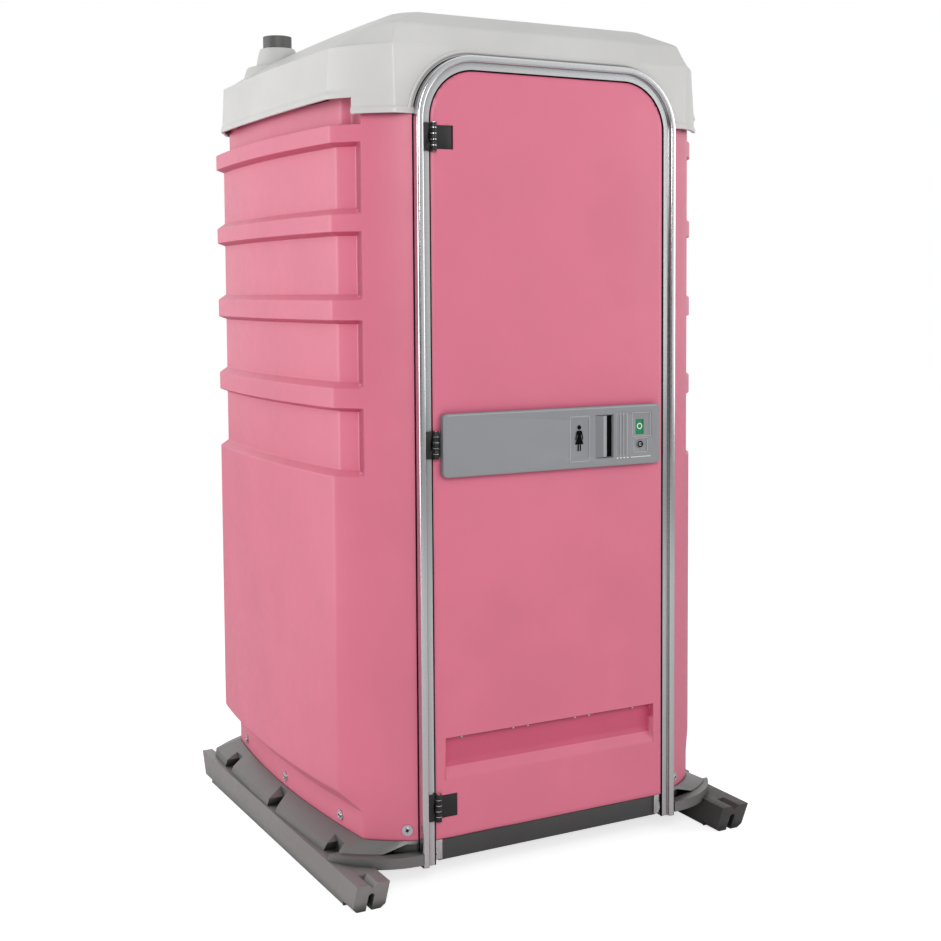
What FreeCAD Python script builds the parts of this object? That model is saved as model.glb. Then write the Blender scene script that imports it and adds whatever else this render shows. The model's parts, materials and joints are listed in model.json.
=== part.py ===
import FreeCAD, Part
import math
import os

import Sketcher
from FreeCAD import Placement, Rotation, Vector

# Portable toilet cabin on two skids: moulded plastic walls, base and roof, an aluminium door
# frame, one door with an indicator lock, and a waste tank with seat and lid inside.
# Millimetres, +Z up, the door faces -Y, the origin lies on the ground under the middle.

os.makedirs("parts", exist_ok=True)
doc = FreeCAD.newDocument("portable_toilet_cabin")

# Driving sizes

DRIVING = [
    ("Skids",),
    ("skid_track", 1216, "width over both skids"),
    ("skid_length", 1232, "overall depth"),
    ("skid_width", 89, "width of one skid"),
    ("skid_height", 80, "ground to skid top"),
    ("head_length", 92, "length of the moulded skid head"),
    ("head_bevel", 12, "bevel on the head's lower edges"),
    ("head_rake", 34, "how far the head's foot lies behind its nose"),
    ("beam_lift", 3, "beam underside above the ground"),
    ("slot_width", 16, "anchor slot through the skid head"),
    ("slot_height", 52, "top of the anchor slot"),
    ("groove_depth", 12, "rope groove over the skid head"),
    ("groove_half", 14, "half width of the rope groove"),
    ("bolt_inset", 70, "skid bolts behind the skid's outer face"),
    ("Base pan",),
    ("pan_width", 1206, "pan foot over the skids"),
    ("wall_foot", 130, "height of the ledge that carries the walls"),
    ("deck_top", 104, "floor level"),
    ("deck_thickness", 8, "floor thickness"),
    ("upstand_height", 62, "pan upstand inside the walls"),
    ("pan_wall", 6, "wall of the pan upstand"),
    ("flank_bend", 105, "level where the pan's flank bends inwards"),
    ("pocket_floor", 52, "flank pocket, depth at its foot"),
    ("pocket_pitch", 390, "distance between the side pockets"),
    ("pocket_shift", 8, "middle pocket behind the middle"),
    ("grip_bar", 30, "section of the corner grip bar"),
    ("bar_low", 73, "underside of the grip bar"),
    ("bar_high", 101, "top of the grip bar"),
    ("tread_front", -470, "first anti-slip rib"),
    ("tread_width", 8, "anti-slip rib"),
    ("tread_height", 2.5, "anti-slip rib"),
    ("tread_pitch", 42, "distance between anti-slip ribs"),
    ("Walls",),
    ("wall_thickness", 5, "moulded sheet"),
    ("wall_top", 2058, "wall edge under the roof ledge"),
    ("wall_half", 590, "outer half width at the fullest place"),
    ("corner_half", 563, "half width at the front corner fold"),
    ("corner_back", 168, "corner fold behind the frame's front"),
    ("foot_back", 111, "foot band's fold behind the frame's front"),
    ("recess_back", 101.5, "front ends of the recesses behind the frame's front"),
    ("rear_half", 558, "half width at the rear corner"),
    ("rear_wall_y", 562, "outer face of the rear corner flange"),
    ("rear_facet", 33, "rear corner facet along Y"),
    ("rear_flange", 75, "rear corner flange along X"),
    ("band_top", 201, "top of the foot band"),
    ("shoulder_top", 245, "top of the sloped shoulder"),
    ("band_inset", 40, "foot band behind the main face"),
    ("body_top", 1072, "top of the plain lower body"),
    ("rib_first", 1248, "underside of the lowest rib"),
    ("rib_pitch", 224.7, "distance between ribs"),
    ("rib_height_low", 51, "face of the two lower ribs"),
    ("rib_height_high", 44, "face of the two upper ribs"),
    ("rib_slope", 16, "height of each sloped rib flank"),
    ("recess_depth", 22, "side panels behind the ribs"),
    ("cornice_depth", 40, "top panel behind the ribs"),
    ("Roof",),
    ("roof_thickness", 5, "moulded sheet"),
    ("skirt_drop", 27, "side skirt's lower edge below the wall top"),
    ("apron_drop", 68, "front apron's lower edge below the wall top"),
    ("skirt_rise", 102, "side skirt's upper edge above the wall top"),
    ("fascia_rise", 162, "front fascia's upper edge above the wall top"),
    ("crown_level", 204, "rim of the crown above the wall top"),
    ("crown_rise", 5, "crown middle above its rim"),
    ("crown_half", 378, "half width of the crown"),
    ("fascia_half", 443, "half width of the front apron"),
    ("skirt_half", 574, "half width at the skirt foot"),
    ("apron_back", 111, "rear end of the front apron behind the frame's front"),
    ("bead_width", 8, "moulded arch bead"),
    ("bead_gap", 24, "bead outside the door frame"),
    ("boss_foot", 104, "radius of the vent boss foot"),
    ("step_rise", 163, "step of the vent boss above the wall top"),
    ("boss_rise", 220, "top of the vent boss above the wall top"),
    ("Door frame",),
    ("frame_front", 556, "frame front plane ahead of the middle"),
    ("frame_half", 395, "outer half width"),
    ("frame_rise", 84, "outer top of the frame above the wall top"),
    ("frame_foot", 64, "lower end of the jambs"),
    ("frame_radius", 166, "outer corner radius"),
    ("lip_width", 18, "rounded front tube"),
    ("lip_depth", 28, "depth of the tube"),
    ("lip_wall", 2.5, "wall of the tube"),
    ("flange_set", 10, "flange behind the front"),
    ("flange_thickness", 3, "flange, web and stop"),
    ("flange_reach", 37.5, "flange edge from the outer side"),
    ("stop_reach", 50, "door stop edge from the outer side"),
    ("stop_set", 41, "door stop behind the front"),
    ("Door",),
    ("door_gap", 1.5, "gap between door and frame"),
    ("door_set", 8, "door face behind the frame front"),
    ("door_thickness", 30, "whole door"),
    ("door_skin", 4, "moulded skins"),
    ("door_foot", 127.5, "lower edge"),
    ("panel_rise", 3, "raised middle panel"),
    ("panel_margin", 17, "panel border"),
    ("kick_top", 393, "top of the vent recess"),
    ("kick_foot", 282, "lower edge of the vent recess"),
    ("kick_half", 326, "half width of the vent recess"),
    ("kick_depth", 21, "depth of the vent recess"),
    ("screen_thickness", 1.6, "vent screens"),
    ("Hinges",),
    ("hinge_height", 70, "each hinge"),
    ("hinge_low", 215, "middle of the lower hinge"),
    ("hinge_middle", 1155, "middle of the middle hinge"),
    ("hinge_high", 1932, "middle of the upper hinge"),
    ("knuckle_radius", 9, "hinge barrel"),
    ("pin_radius", 3, "hinge pin"),
    ("pin_clearance", 0.05, "pin in the frame knuckles"),
    ("pin_inset", 44.5, "hinge axis from the frame's outer side"),
    ("pin_set", 3, "hinge axis behind the frame front"),
    ("knuckle_gap", 0.4, "between knuckles"),
    ("leaf_thickness", 4, "hinge leaves"),
    ("leaf_reach", 57, "door leaf beyond the axis"),
    ("Lock plate",),
    ("plate_left", -336, "left end"),
    ("plate_right", 333, "right end"),
    ("plate_foot", 1071, "lower edge"),
    ("plate_top", 1235, "upper edge"),
    ("plate_depth", 20, "plate ahead of the door face"),
    ("plate_wall", 3, "moulded plate"),
    ("plate_radius", 12, "corner radius"),
    ("sign_left", 45, "restroom sign"),
    ("sign_width", 57, "restroom sign"),
    ("sign_foot", 1099, "restroom sign"),
    ("sign_height", 104, "restroom sign"),
    ("grip_left", 121, "pull recess"),
    ("grip_width", 59, "pull recess"),
    ("grip_foot", 1094, "pull recess"),
    ("grip_height", 117, "pull recess"),
    ("grip_depth", 15, "pull recess"),
    ("flag_left", 252, "indicator window"),
    ("flag_width", 27, "indicator window, and the travel of the bolt"),
    ("flag_foot", 1153, "indicator window"),
    ("flag_height", 41, "indicator window"),
    ("lock_x", 267, "lock axis"),
    ("lock_z", 1126, "lock axis"),
    ("barrel_radius", 11, "coin barrel"),
    ("shaft_radius", 7, "lock shaft"),
    ("crank_pin_radius", 3, "crank pin"),
    ("case_left", 190, "inner latch case"),
    ("case_right", 334, "inner latch case"),
    ("case_foot", 1092, "inner latch case"),
    ("case_top", 1192, "inner latch case"),
    ("case_depth", 30, "inner latch case"),
    ("bolt_thickness", 8, "latch bolt"),
    ("bolt_height", 44, "latch bolt"),
    ("bolt_left", 204, "latch bolt"),
    ("bolt_right", 328, "latch bolt, drawn back"),
    ("Tank",),
    ("tank_width", 940, "waste tank"),
    ("tank_front", 60, "upper front edge"),
    ("tank_toe", 115, "lower front edge"),
    ("tank_back", 515, "rear face"),
    ("tank_top", 545, "seat deck"),
    ("ledge_front", 490, "raised rear ledge"),
    ("ledge_top", 640, "raised rear ledge"),
    ("tank_wall", 6, "moulded tank"),
    ("drop_width", 230, "seat hole"),
    ("drop_length", 290, "seat hole"),
    ("seat_middle", 235, "middle of the seat hole"),
    ("seat_width", 368, "seat ring"),
    ("seat_length", 400, "seat ring"),
    ("seat_thickness", 20, "seat ring"),
    ("seat_rest", 5, "seat bumpers"),
    ("lid_thickness", 12, "lid"),
    ("lid_gap", 4, "lid above the seat"),
    ("lid_open", 95, "lid angle when up"),
    ("rod_radius", 5, "seat hinge rod"),
    ("Vent pipe",),
    ("vent_x", -409, "vent pipe axis"),
    ("vent_y", 376, "vent pipe axis"),
    ("vent_radius", 43, "vent pipe"),
    ("vent_wall", 3, "vent pipe"),
    ("vent_rise", 257, "upper end above the wall top"),
    ("Paper holder",),
    ("holder_y", 235, "middle of the holder"),
    ("holder_z", 790, "roll axis"),
    ("holder_length", 250, "between the outer end plates"),
    ("roll_radius", 52, "paper roll"),
    ("roll_length", 104, "paper roll"),
    ("spindle_radius", 19, "roll spindle"),
    ("roll_clearance", 0.08, "roll core on the spindle"),
    ("Fasteners",),
    ("washer_radius", 14.5, "wall washers"),
    ("bolt_level", 157, "height of the wall bolts"),
    ("shank_radius", 4, "bolt shanks"),
]

sheet = doc.addObject("Spreadsheet::Sheet", "Sizes")


class Size:
    """A length in mm together with the sheet expression that gives it."""

    def __init__(self, value, text):
        self.value = float(value)
        self.text = text

    def join(self, other, sign, value):
        return Size(value, "(%s %s %s)" % (self.text, sign, other.text))

    def __add__(self, other):
        other = size(other)
        return self.join(other, "+", self.value + other.value)

    def __sub__(self, other):
        other = size(other)
        return self.join(other, "-", self.value - other.value)

    def __mul__(self, other):
        other = size(other)
        return self.join(other, "*", self.value * other.value)

    def __truediv__(self, other):
        other = size(other)
        return self.join(other, "/", self.value / other.value)

    def __radd__(self, other):
        return size(other) + self

    def __rsub__(self, other):
        return size(other) - self

    def __rmul__(self, other):
        return size(other) * self

    def __neg__(self):
        return Size(-self.value, "(0 - %s)" % self.text)

    def __float__(self):
        return self.value


def size(thing):
    return thing if isinstance(thing, Size) else Size(thing, "%.6f" % thing)


class Sizes:
    """The sheet's values by name."""


d = Sizes()
for row, entry in enumerate(DRIVING, start=1):
    sheet.set("A%d" % row, entry[0])
    if len(entry) == 3:
        alias, number, note = entry
        sheet.set("B%d" % row, str(number))
        sheet.set("C%d" % row, note)
        sheet.setAlias("B%d" % row, alias)
doc.recompute()
for entry in DRIVING:
    if len(entry) == 3:
        setattr(d, entry[0], Size(sheet.get(entry[0]), "Sizes." + entry[0]))

# Sizes that follow from the driving ones

d.skirt_foot = d.wall_top - d.skirt_drop
d.apron_foot = d.wall_top - d.apron_drop
d.skirt_top = d.wall_top + d.skirt_rise
d.fascia_top = d.wall_top + d.fascia_rise
d.crown = d.wall_top + d.crown_level
d.boss_step = d.wall_top + d.step_rise
d.boss_top = d.wall_top + d.boss_rise
d.frame_top = d.wall_top + d.frame_rise
d.vent_top = d.wall_top + d.vent_rise
front = -d.frame_front
mount_y = front + d.lip_depth
door_y = front + d.door_set
door_back = door_y + d.door_thickness
door_half = d.frame_half - d.flange_reach - d.door_gap
door_top = d.frame_top - d.flange_reach - d.door_gap
door_radius = d.frame_radius - d.flange_reach - d.door_gap
stop_y = front + d.stop_set
pin_x = d.pin_inset - d.frame_half
pin_y = front + d.pin_set
plate_y = door_y - d.plate_depth
skid_outer = d.skid_track / 2
skid_inner = skid_outer - d.skid_width
CLEAR = 0.3


# Helpers

NODES = {}


def node(name, thing):
    """Names one finished sub-part after its file."""
    thing.Label = name
    NODES[name] = thing
    return thing


def bind(thing, prop, value):
    """Ties one property to the sheet."""
    thing.setExpression(prop, size(value).text)


def at(thing, x, y, z):
    for letter, value in (("x", x), ("y", y), ("z", z)):
        thing.setExpression("Placement.Base." + letter, size(value).text)


def box(name, x, y, z):
    """A box between three pairs of limits."""
    thing = doc.addObject("Part::Box", name)
    bind(thing, "Length", size(x[1]) - x[0])
    bind(thing, "Width", size(y[1]) - y[0])
    bind(thing, "Height", size(z[1]) - z[0])
    at(thing, x[0], y[0], z[0])
    return thing


TURNS = {
    "x": Rotation(Vector(0, 1, 0), 90),
    "y": Rotation(Vector(1, 0, 0), -90),
    "z": Rotation(),
}


def rod(name, axis, radius, start, length, end_radius=None):
    """A round bar, or a cone where it has an end radius, from a start point along an axis."""
    thing = doc.addObject("Part::Cylinder" if end_radius is None else "Part::Cone", name)
    if end_radius is None:
        bind(thing, "Radius", radius)
    else:
        bind(thing, "Radius1", radius)
        bind(thing, "Radius2", end_radius)
    bind(thing, "Height", length)
    thing.Placement = Placement(Vector(), TURNS[axis])
    at(thing, *start)
    return thing


def fused(name, things):
    whole = doc.addObject("Part::MultiFuse", name)
    whole.Shapes = things
    return whole


def cut(name, base, tools):
    """The base less its tools."""
    less = doc.addObject("Part::Cut", name)
    less.Base = base
    less.Tool = tools[0] if len(tools) == 1 else fused(name + "_tools", tools)
    return less


def group(name, things):
    """Separate solids that share one node."""
    whole = doc.addObject("Part::Compound", name)
    whole.Links = things
    return whole


def mirrored(name, thing):
    """The same piece on the other side."""
    other = doc.addObject("Part::Mirroring", name)
    other.Source = thing
    other.Normal = Vector(1, 0, 0)
    return other


def shaped(name, shape):
    """A piece whose shape is worked out here."""
    thing = doc.addObject("Part::Feature", name)
    thing.Shape = shape
    return thing


def body(name):
    return doc.addObject("PartDesign::Body", name)


def arc_between(p, q, radius, turn):
    """Centre and angles of the short arc from p to q, turn 1 anticlockwise, -1 clockwise."""
    dx, dy = q[0] - p[0], q[1] - p[1]
    chord = math.hypot(dx, dy)
    rise = math.sqrt(max(radius * radius - chord * chord / 4, 0.0))
    cx = (p[0] + q[0]) / 2 - turn * rise * dy / chord
    cy = (p[1] + q[1]) / 2 + turn * rise * dx / chord
    first, last = (p, q) if turn > 0 else (q, p)
    a = math.atan2(first[1] - cy, first[0] - cx)
    b = math.atan2(last[1] - cy, last[0] - cx)
    return (cx, cy), a, b if b > a else b + 2 * math.pi


def draw(sketch, corners):
    """A closed outline. A corner with a radius and a turn starts an arc to the next corner."""
    start = sketch.GeometryCount
    spots = [(float(c[0]), float(c[1])) for c in corners]
    ends, pieces = [], []
    for i, corner in enumerate(corners):
        p, q = spots[i], spots[(i + 1) % len(spots)]
        if len(corner) == 2:
            pieces.append(Part.LineSegment(Vector(p[0], p[1], 0), Vector(q[0], q[1], 0)))
            ends.append((1, 2))
        else:
            middle, a, b = arc_between(p, q, float(corner[2]), corner[3])
            circle = Part.Circle(Vector(middle[0], middle[1], 0), Vector(0, 0, 1), float(corner[2]))
            pieces.append(Part.ArcOfCircle(circle, a, b))
            ends.append((1, 2) if corner[3] > 0 else (2, 1))
    sketch.addGeometry(pieces, False)
    rules, bound = [], []
    for i in range(len(pieces)):
        after = (i + 1) % len(pieces)
        joined = (start + i, ends[i][1], start + after, ends[after][0])
        rules.append(Sketcher.Constraint("Coincident", *joined))
    first = sketch.ConstraintCount + len(rules)
    for i, corner in enumerate(corners):
        for kind, value in (("DistanceX", corner[0]), ("DistanceY", corner[1])):
            value = size(value)
            rules.append(Sketcher.Constraint(kind, -1, 1, start + i, ends[i][0], value.value))
            bound.append(value)
        if len(corner) == 4:
            rules.append(Sketcher.Constraint("Radius", start + i, float(corner[2])))
            bound.append(size(corner[2]))
    sketch.addConstraint(rules)
    for i, value in enumerate(bound):
        if "Sizes" in value.text:
            sketch.setExpression("Constraints[%d]" % (first + i), value.text)


def sketch_on(owner, role, offset, outlines, name):
    """A sketch on one of a body's own origin planes, moved along the plane's normal."""
    plane = [f for f in owner.Origin.OriginFeatures if f.Role == role][0]
    sketch = owner.newObject("Sketcher::SketchObject", name)
    sketch.AttachmentSupport = (plane, [""])
    sketch.MapMode = "FlatFace"
    sketch.setExpression("AttachmentOffset.Base.z", size(offset).text)
    for corners in outlines:
        draw(sketch, corners)
    return sketch


def pad(owner, sketch, length, reverse=False, middle=False):
    feature = owner.newObject("PartDesign::Pad", sketch.Name + "_pad")
    feature.Profile = sketch
    feature.Reversed = reverse
    feature.Midplane = middle
    bind(feature, "Length", length)
    return feature


def pocket(owner, sketch, length, reverse=False, middle=False):
    feature = owner.newObject("PartDesign::Pocket", sketch.Name + "_pocket")
    feature.Profile = sketch
    feature.Reversed = reverse
    feature.Midplane = middle
    bind(feature, "Length", length)
    return feature


def front_pad(owner, name, outlines, y):
    """Adds a plate with its front face at the first limit and its back at the second."""
    sketch = sketch_on(owner, "XZ_Plane", -size(y[0]), outlines, name)
    return pad(owner, sketch, size(y[1]) - y[0], reverse=True)


def front_pocket(owner, name, outlines, y):
    """Cuts from the first limit back to the second."""
    sketch = sketch_on(owner, "XZ_Plane", -size(y[0]), outlines, name)
    return pocket(owner, sketch, size(y[1]) - y[0])


def rectangle(u, v):
    """Corners of a rectangle between two pairs of limits."""
    return [(u[0], v[0]), (u[1], v[0]), (u[1], v[1]), (u[0], v[1])]


def rounded(u, v, radius):
    """Corners of a rectangle with round corners."""
    left, right = size(u[0]), size(u[1])
    low, high = size(v[0]), size(v[1])
    return [
        (left + radius, low),
        (right - radius, low, radius, 1),
        (right, low + radius),
        (right, high - radius, radius, 1),
        (right - radius, high),
        (left + radius, high, radius, 1),
        (left, high - radius),
        (left, low + radius, radius, 1),
    ]


def arch(half, foot, top, radius):
    """Corners of an outline with a straight foot and a round-cornered top."""
    return [
        (-half, foot),
        (half, foot),
        (half, top - radius, radius, 1),
        (half - radius, top),
        (radius - half, top, radius, 1),
        (-half, top - radius),
    ]


def hoop(inset_out, inset_in, foot):
    """Corners of an inverted U between two insets from the frame's outer edge."""
    out = d.frame_half - inset_out
    inner = d.frame_half - inset_in
    out_top = d.frame_top - inset_out
    inner_top = d.frame_top - inset_in
    out_radius = d.frame_radius - inset_out
    inner_radius = d.frame_radius - inset_in
    return [
        (-out, foot),
        (-inner, foot),
        (-inner, inner_top - inner_radius, inner_radius, -1),
        (inner_radius - inner, inner_top),
        (inner - inner_radius, inner_top, inner_radius, -1),
        (inner, inner_top - inner_radius),
        (inner, foot),
        (out, foot),
        (out, out_top - out_radius, out_radius, 1),
        (out - out_radius, out_top),
        (out_radius - out, out_top, out_radius, 1),
        (-out, out_top - out_radius),
    ]


# Plan curves shared by walls, base pan and roof


def circle_through(a, b, c):
    """Centre and radius of the circle through three points."""
    circle = Part.Circle(Vector(*a, 0), Vector(*b, 0), Vector(*c, 0))
    return (circle.Center.x, circle.Center.y), circle.Radius


def at_level(centre, radius, y):
    """The left-hand point of a circle at one y."""
    return (centre[0] - math.sqrt(radius * radius - (y - centre[1]) ** 2), y)


def meeting(one, two, near):
    """The point where two circles meet, nearest to a given point."""
    (ax, ay), ar = one
    (bx, by), br = two
    gap = math.hypot(bx - ax, by - ay)
    along = (ar * ar - br * br + gap * gap) / (2 * gap)
    side = math.sqrt(max(ar * ar - along * along, 0.0))
    ux, uy = (bx - ax) / gap, (by - ay) / gap
    spots = [
        (ax + along * ux - s * side * uy, ay + along * uy + s * side * ux) for s in (-1, 1)
    ]
    return min(spots, key=lambda p: math.hypot(p[0] - near[0], p[1] - near[1]))


class Plan:
    """The left half of the cabin's outline in plan: a front corner arc, a side arc and a rear
    facet, all of which can be offset inwards."""

    def __init__(self, jamb, corner_middle, fold, side_middle, rear, facet):
        self.jamb, self.fold, self.rear, self.facet = jamb, fold, rear, facet
        self.corner = circle_through(jamb, corner_middle, fold)
        self.side = circle_through(fold, side_middle, rear)

    def fold_at(self, inset):
        (centre, radius), (other, far) = self.corner, self.side
        return meeting((centre, radius - inset), (other, far - inset), self.fold)

    def arc(self, circle, inset, p, q):
        """An arc edge between two points of an offset circle, as three points."""
        centre, radius = circle
        mx, my = (p[0] + q[0]) / 2 - centre[0], (p[1] + q[1]) / 2 - centre[1]
        scale = (radius - inset) / math.hypot(mx, my)
        return [p, (centre[0] + mx * scale, centre[1] + my * scale), q]

    def outline(self, z, inset, flange_x, flange_back, room_y):
        """The filled outline at one height, closed through the room inside."""
        jamb_y = self.jamb[1] + inset
        start = at_level(self.corner[0], self.corner[1] - inset, jamb_y)
        fold = self.fold_at(inset)
        rear = at_level(self.side[0], self.side[1] - inset, self.rear[1] - inset * 0.45)
        facet = (self.facet[0] + inset * 0.55, self.facet[1] - inset)
        return outline(
            [
                [(flange_x, jamb_y), start],
                self.arc(self.corner, inset, start, fold),
                self.arc(self.side, inset, fold, rear),
                [rear, facet],
                [facet, (flange_back, facet[1])],
                [(flange_back, facet[1]), (flange_back, room_y)],
                [(flange_back, room_y), (flange_x, room_y)],
                [(flange_x, room_y), (flange_x, jamb_y)],
            ],
            z,
        )


jamb = (-d.frame_half.value + 3, mount_y.value)
main_plan = Plan(
    jamb=jamb,
    corner_middle=(-d.corner_half.value + 84, front.value + 79),
    fold=(-d.corner_half.value, front.value + d.corner_back.value),
    side_middle=(-d.wall_half.value, 65),
    rear=(-d.rear_half.value, d.rear_wall_y.value - d.rear_facet.value),
    facet=(-d.rear_half.value + 28, d.rear_wall_y.value),
)
band = d.band_inset.value
foot_plan = Plan(
    jamb=jamb,
    corner_middle=(-d.corner_half.value + 84, front.value + 79),
    fold=at_level(*main_plan.corner, front.value + d.foot_back.value),
    side_middle=(-d.wall_half.value + band + 5, 60),
    rear=(-d.rear_half.value + band + 6, d.rear_wall_y.value - d.rear_facet.value - 8),
    facet=(-d.rear_half.value + band + 40.5, d.rear_wall_y.value),
)


def outline(parts, z):
    """A closed wire at one height from lines of 2 points and arcs of 3."""
    edges = []
    for part in parts:
        points = [Vector(x, y, z) for x, y in part]
        if len(part) == 2:
            edges.append(Part.makeLine(*points))
        else:
            edges.append(Part.Arc(*points).toShape())
    return Part.Wire(edges)


def prism(wire, height):
    return Part.Face(wire).extrude(Vector(0, 0, height))


def loft(wires):
    """A solid with straight flanks through a stack of wires."""
    return Part.makeLoft(wires, True, True, False)


def ring_cutter(circle, inset, low, high, slope, reach):
    """What a recess takes away outside one circle: a ring whose section is a trapezoid."""
    centre, radius = circle
    inner, outer = radius - inset, radius + 60
    spread = slope * 60 / inset
    lean = slope + spread
    points = [
        Vector(centre[0] + inner, centre[1], low + slope),
        Vector(centre[0] + outer, centre[1], low + slope - lean),
        Vector(centre[0] + outer, centre[1], high - slope + lean),
        Vector(centre[0] + inner, centre[1], high - slope),
    ]
    face = Part.Face(Part.makePolygon(points + points[:1]))
    start, sweep = reach
    face.rotate(Vector(*centre, 0), Vector(0, 0, 1), start)
    return face.revolve(Vector(*centre, 0), Vector(0, 0, 1), sweep)


def facet_cutter(inset, low, high, slope):
    """The same trapezoid ring where it passes the straight rear facet."""
    (ax, ay), (bx, by) = main_plan.rear, main_plan.facet
    width = math.hypot(bx - ax, by - ay)
    along_x, along_y = (bx - ax) / width, (by - ay) / width
    reach, over = 60, 150
    spread = slope * reach / inset
    start = (ax - over * along_x, ay - over * along_y)
    points = []
    outline = (
        (-inset, low + slope),
        (reach, low - spread),
        (reach, high + spread),
        (-inset, high - slope),
    )
    for out, z in outline:
        points.append(Vector(start[0] - out * along_y, start[1] + out * along_x, z))
    face = Part.Face(Part.makePolygon(points + points[:1]))
    return face.extrude(Vector(along_x, along_y, 0) * (width + 2 * over))


RECESS_TURN = math.radians(98)
RECESS_RAMP = 36.6


def behind_ends(inset, low, high):
    """The space outside and behind the slanted front ends of the recesses."""
    ex, ey = at_level(*main_plan.corner, front.value + d.recess_back.value)
    fx, fy = ex + RECESS_RAMP * math.cos(RECESS_TURN), ey + RECESS_RAMP * math.sin(RECESS_TURN)
    ahead = (ex - 3 * (fx - ex), ey - 3 * (fy - ey))
    plan = [ahead, (fx, fy), (fx + 150, fy), (fx + 150, 700), (-900, 700), (-900, ahead[1])]
    points = [Vector(x + 1.15 * inset, y - inset, low - 200) for x, y in plan]
    return Part.Face(Part.makePolygon(points + points[:1])).extrude(Vector(0, 0, high - low + 400))


def recess(low, high, depth, slope, inset):
    """Everything outside the recessed face between two heights, behind the front ends."""
    side_sweep = math.degrees(900 / main_plan.side[1])
    corner_sweep = 75.0
    side = ring_cutter(main_plan.side, depth, low, high, slope, (180 - side_sweep, 2 * side_sweep))
    corner = ring_cutter(main_plan.corner, depth, low, high, slope, (170, corner_sweep))
    facet = facet_cutter(depth, low, high, slope)
    return side.fuse([corner, facet]).common(behind_ends(inset, low, high))


def panels():
    """Low edge, high edge, depth and flank height of each recessed panel, lowest first."""
    slope, deep, top = d.rib_slope.value, d.recess_depth.value, d.cornice_depth.value
    found, low = [], d.body_top.value
    for i in range(4):
        under = d.rib_first.value + i * d.rib_pitch.value
        found.append((low, under, deep, slope))
        low = under + (d.rib_height_low if i < 2 else d.rib_height_high).value
    found.append((low, d.wall_top.value + 100, top, 6))
    return found


def wall_solid(inset, spill, over):
    """The filled wall; with an inset, what is taken out of it to leave the sheet."""
    flange_x = -(d.frame_half - d.flange_reach + 4.5).value + 2 * spill
    flange_back = main_plan.facet[0] + d.rear_flange.value + 2 * spill
    shoulder = math.atan2(d.band_inset.value + 5, (d.shoulder_top - d.band_top).value)
    shift = inset * math.tan(shoulder / 2)
    foot, low = d.wall_foot.value - over, d.band_top.value + shift
    high, top = d.shoulder_top.value + shift, d.wall_top.value + over
    room = 450 + spill

    def wire(plan, z):
        return plan.outline(z, inset, flange_x, flange_back, room)

    solid = prism(wire(foot_plan, foot), low - foot)
    solid = solid.fuse(loft([wire(foot_plan, low), wire(main_plan, high)]))
    solid = solid.fuse(prism(wire(main_plan, high), top - high))
    for low, high, depth, slope in panels():
        lean = inset * math.tan(math.atan2(depth, slope) / 2)
        deeper = depth + inset
        solid = solid.cut(recess(low - lean, high + lean, deeper, slope * deeper / depth, inset))
    return solid


def along(spot, direction, radius, length):
    """A round bar from a spot along any direction."""
    return Part.makeCylinder(radius, length, Vector(*spot), Vector(*direction))


def wall_bolt_places():
    """Foot bolts of the left side: a point on the wall face and its outward direction."""
    found = []
    for circle, y in (
        (foot_plan.corner, front.value + 42),
        (foot_plan.side, front.value + 230),
        (foot_plan.side, front.value + 593),
        (foot_plan.side, front.value + 980),
    ):
        x, y = at_level(circle[0], circle[1], y)
        out = ((x - circle[0][0]) / circle[1], (y - circle[0][1]) / circle[1])
        found.append(((x, y, d.bolt_level.value), (out[0], out[1], 0)))
    return found


def moved(spot, direction, distance):
    return tuple(s + distance * v for s, v in zip(spot, direction))


# Walls

sheet_wall = d.wall_thickness.value
left_sheet = wall_solid(0, 0, 0).cut(wall_solid(sheet_wall, 5, 5))
for spot, out in wall_bolt_places():
    left_sheet = left_sheet.cut(along(moved(spot, out, -20), out, d.shank_radius.value + CLEAR, 40))

header_x = -(d.frame_half + 17).value
apron_notch = Part.makeBox(
    90, 60, 200, Vector(header_x, mount_y.value - 20, d.apron_foot.value)
)
left_sheet = left_sheet.cut(apron_notch)

SLOTS = [(-330, -130), (-70, 130), (190, 390)]
slot_low, slot_high = d.skirt_foot.value + 3, d.wall_top.value - 10
for low, high in SLOTS:
    left_sheet = left_sheet.cut(
        Part.makeBox(160, high - low, slot_high - slot_low, Vector(-640, low, slot_low))
    )

seam_x = main_plan.facet[0] + d.rear_flange.value - 9
rivet_y = d.rear_wall_y.value
RIVETS = [d.wall_foot.value + 95 + i * 300 for i in range(7)]
for z in RIVETS:
    left_sheet = left_sheet.cut(along((seam_x, rivet_y - 30, z), (0, 1, 0), 2.5, 60))
left_wall = node("left_wall", shaped("LeftWall", left_sheet))
node("right_wall", mirrored("RightWall", left_wall))


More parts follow.
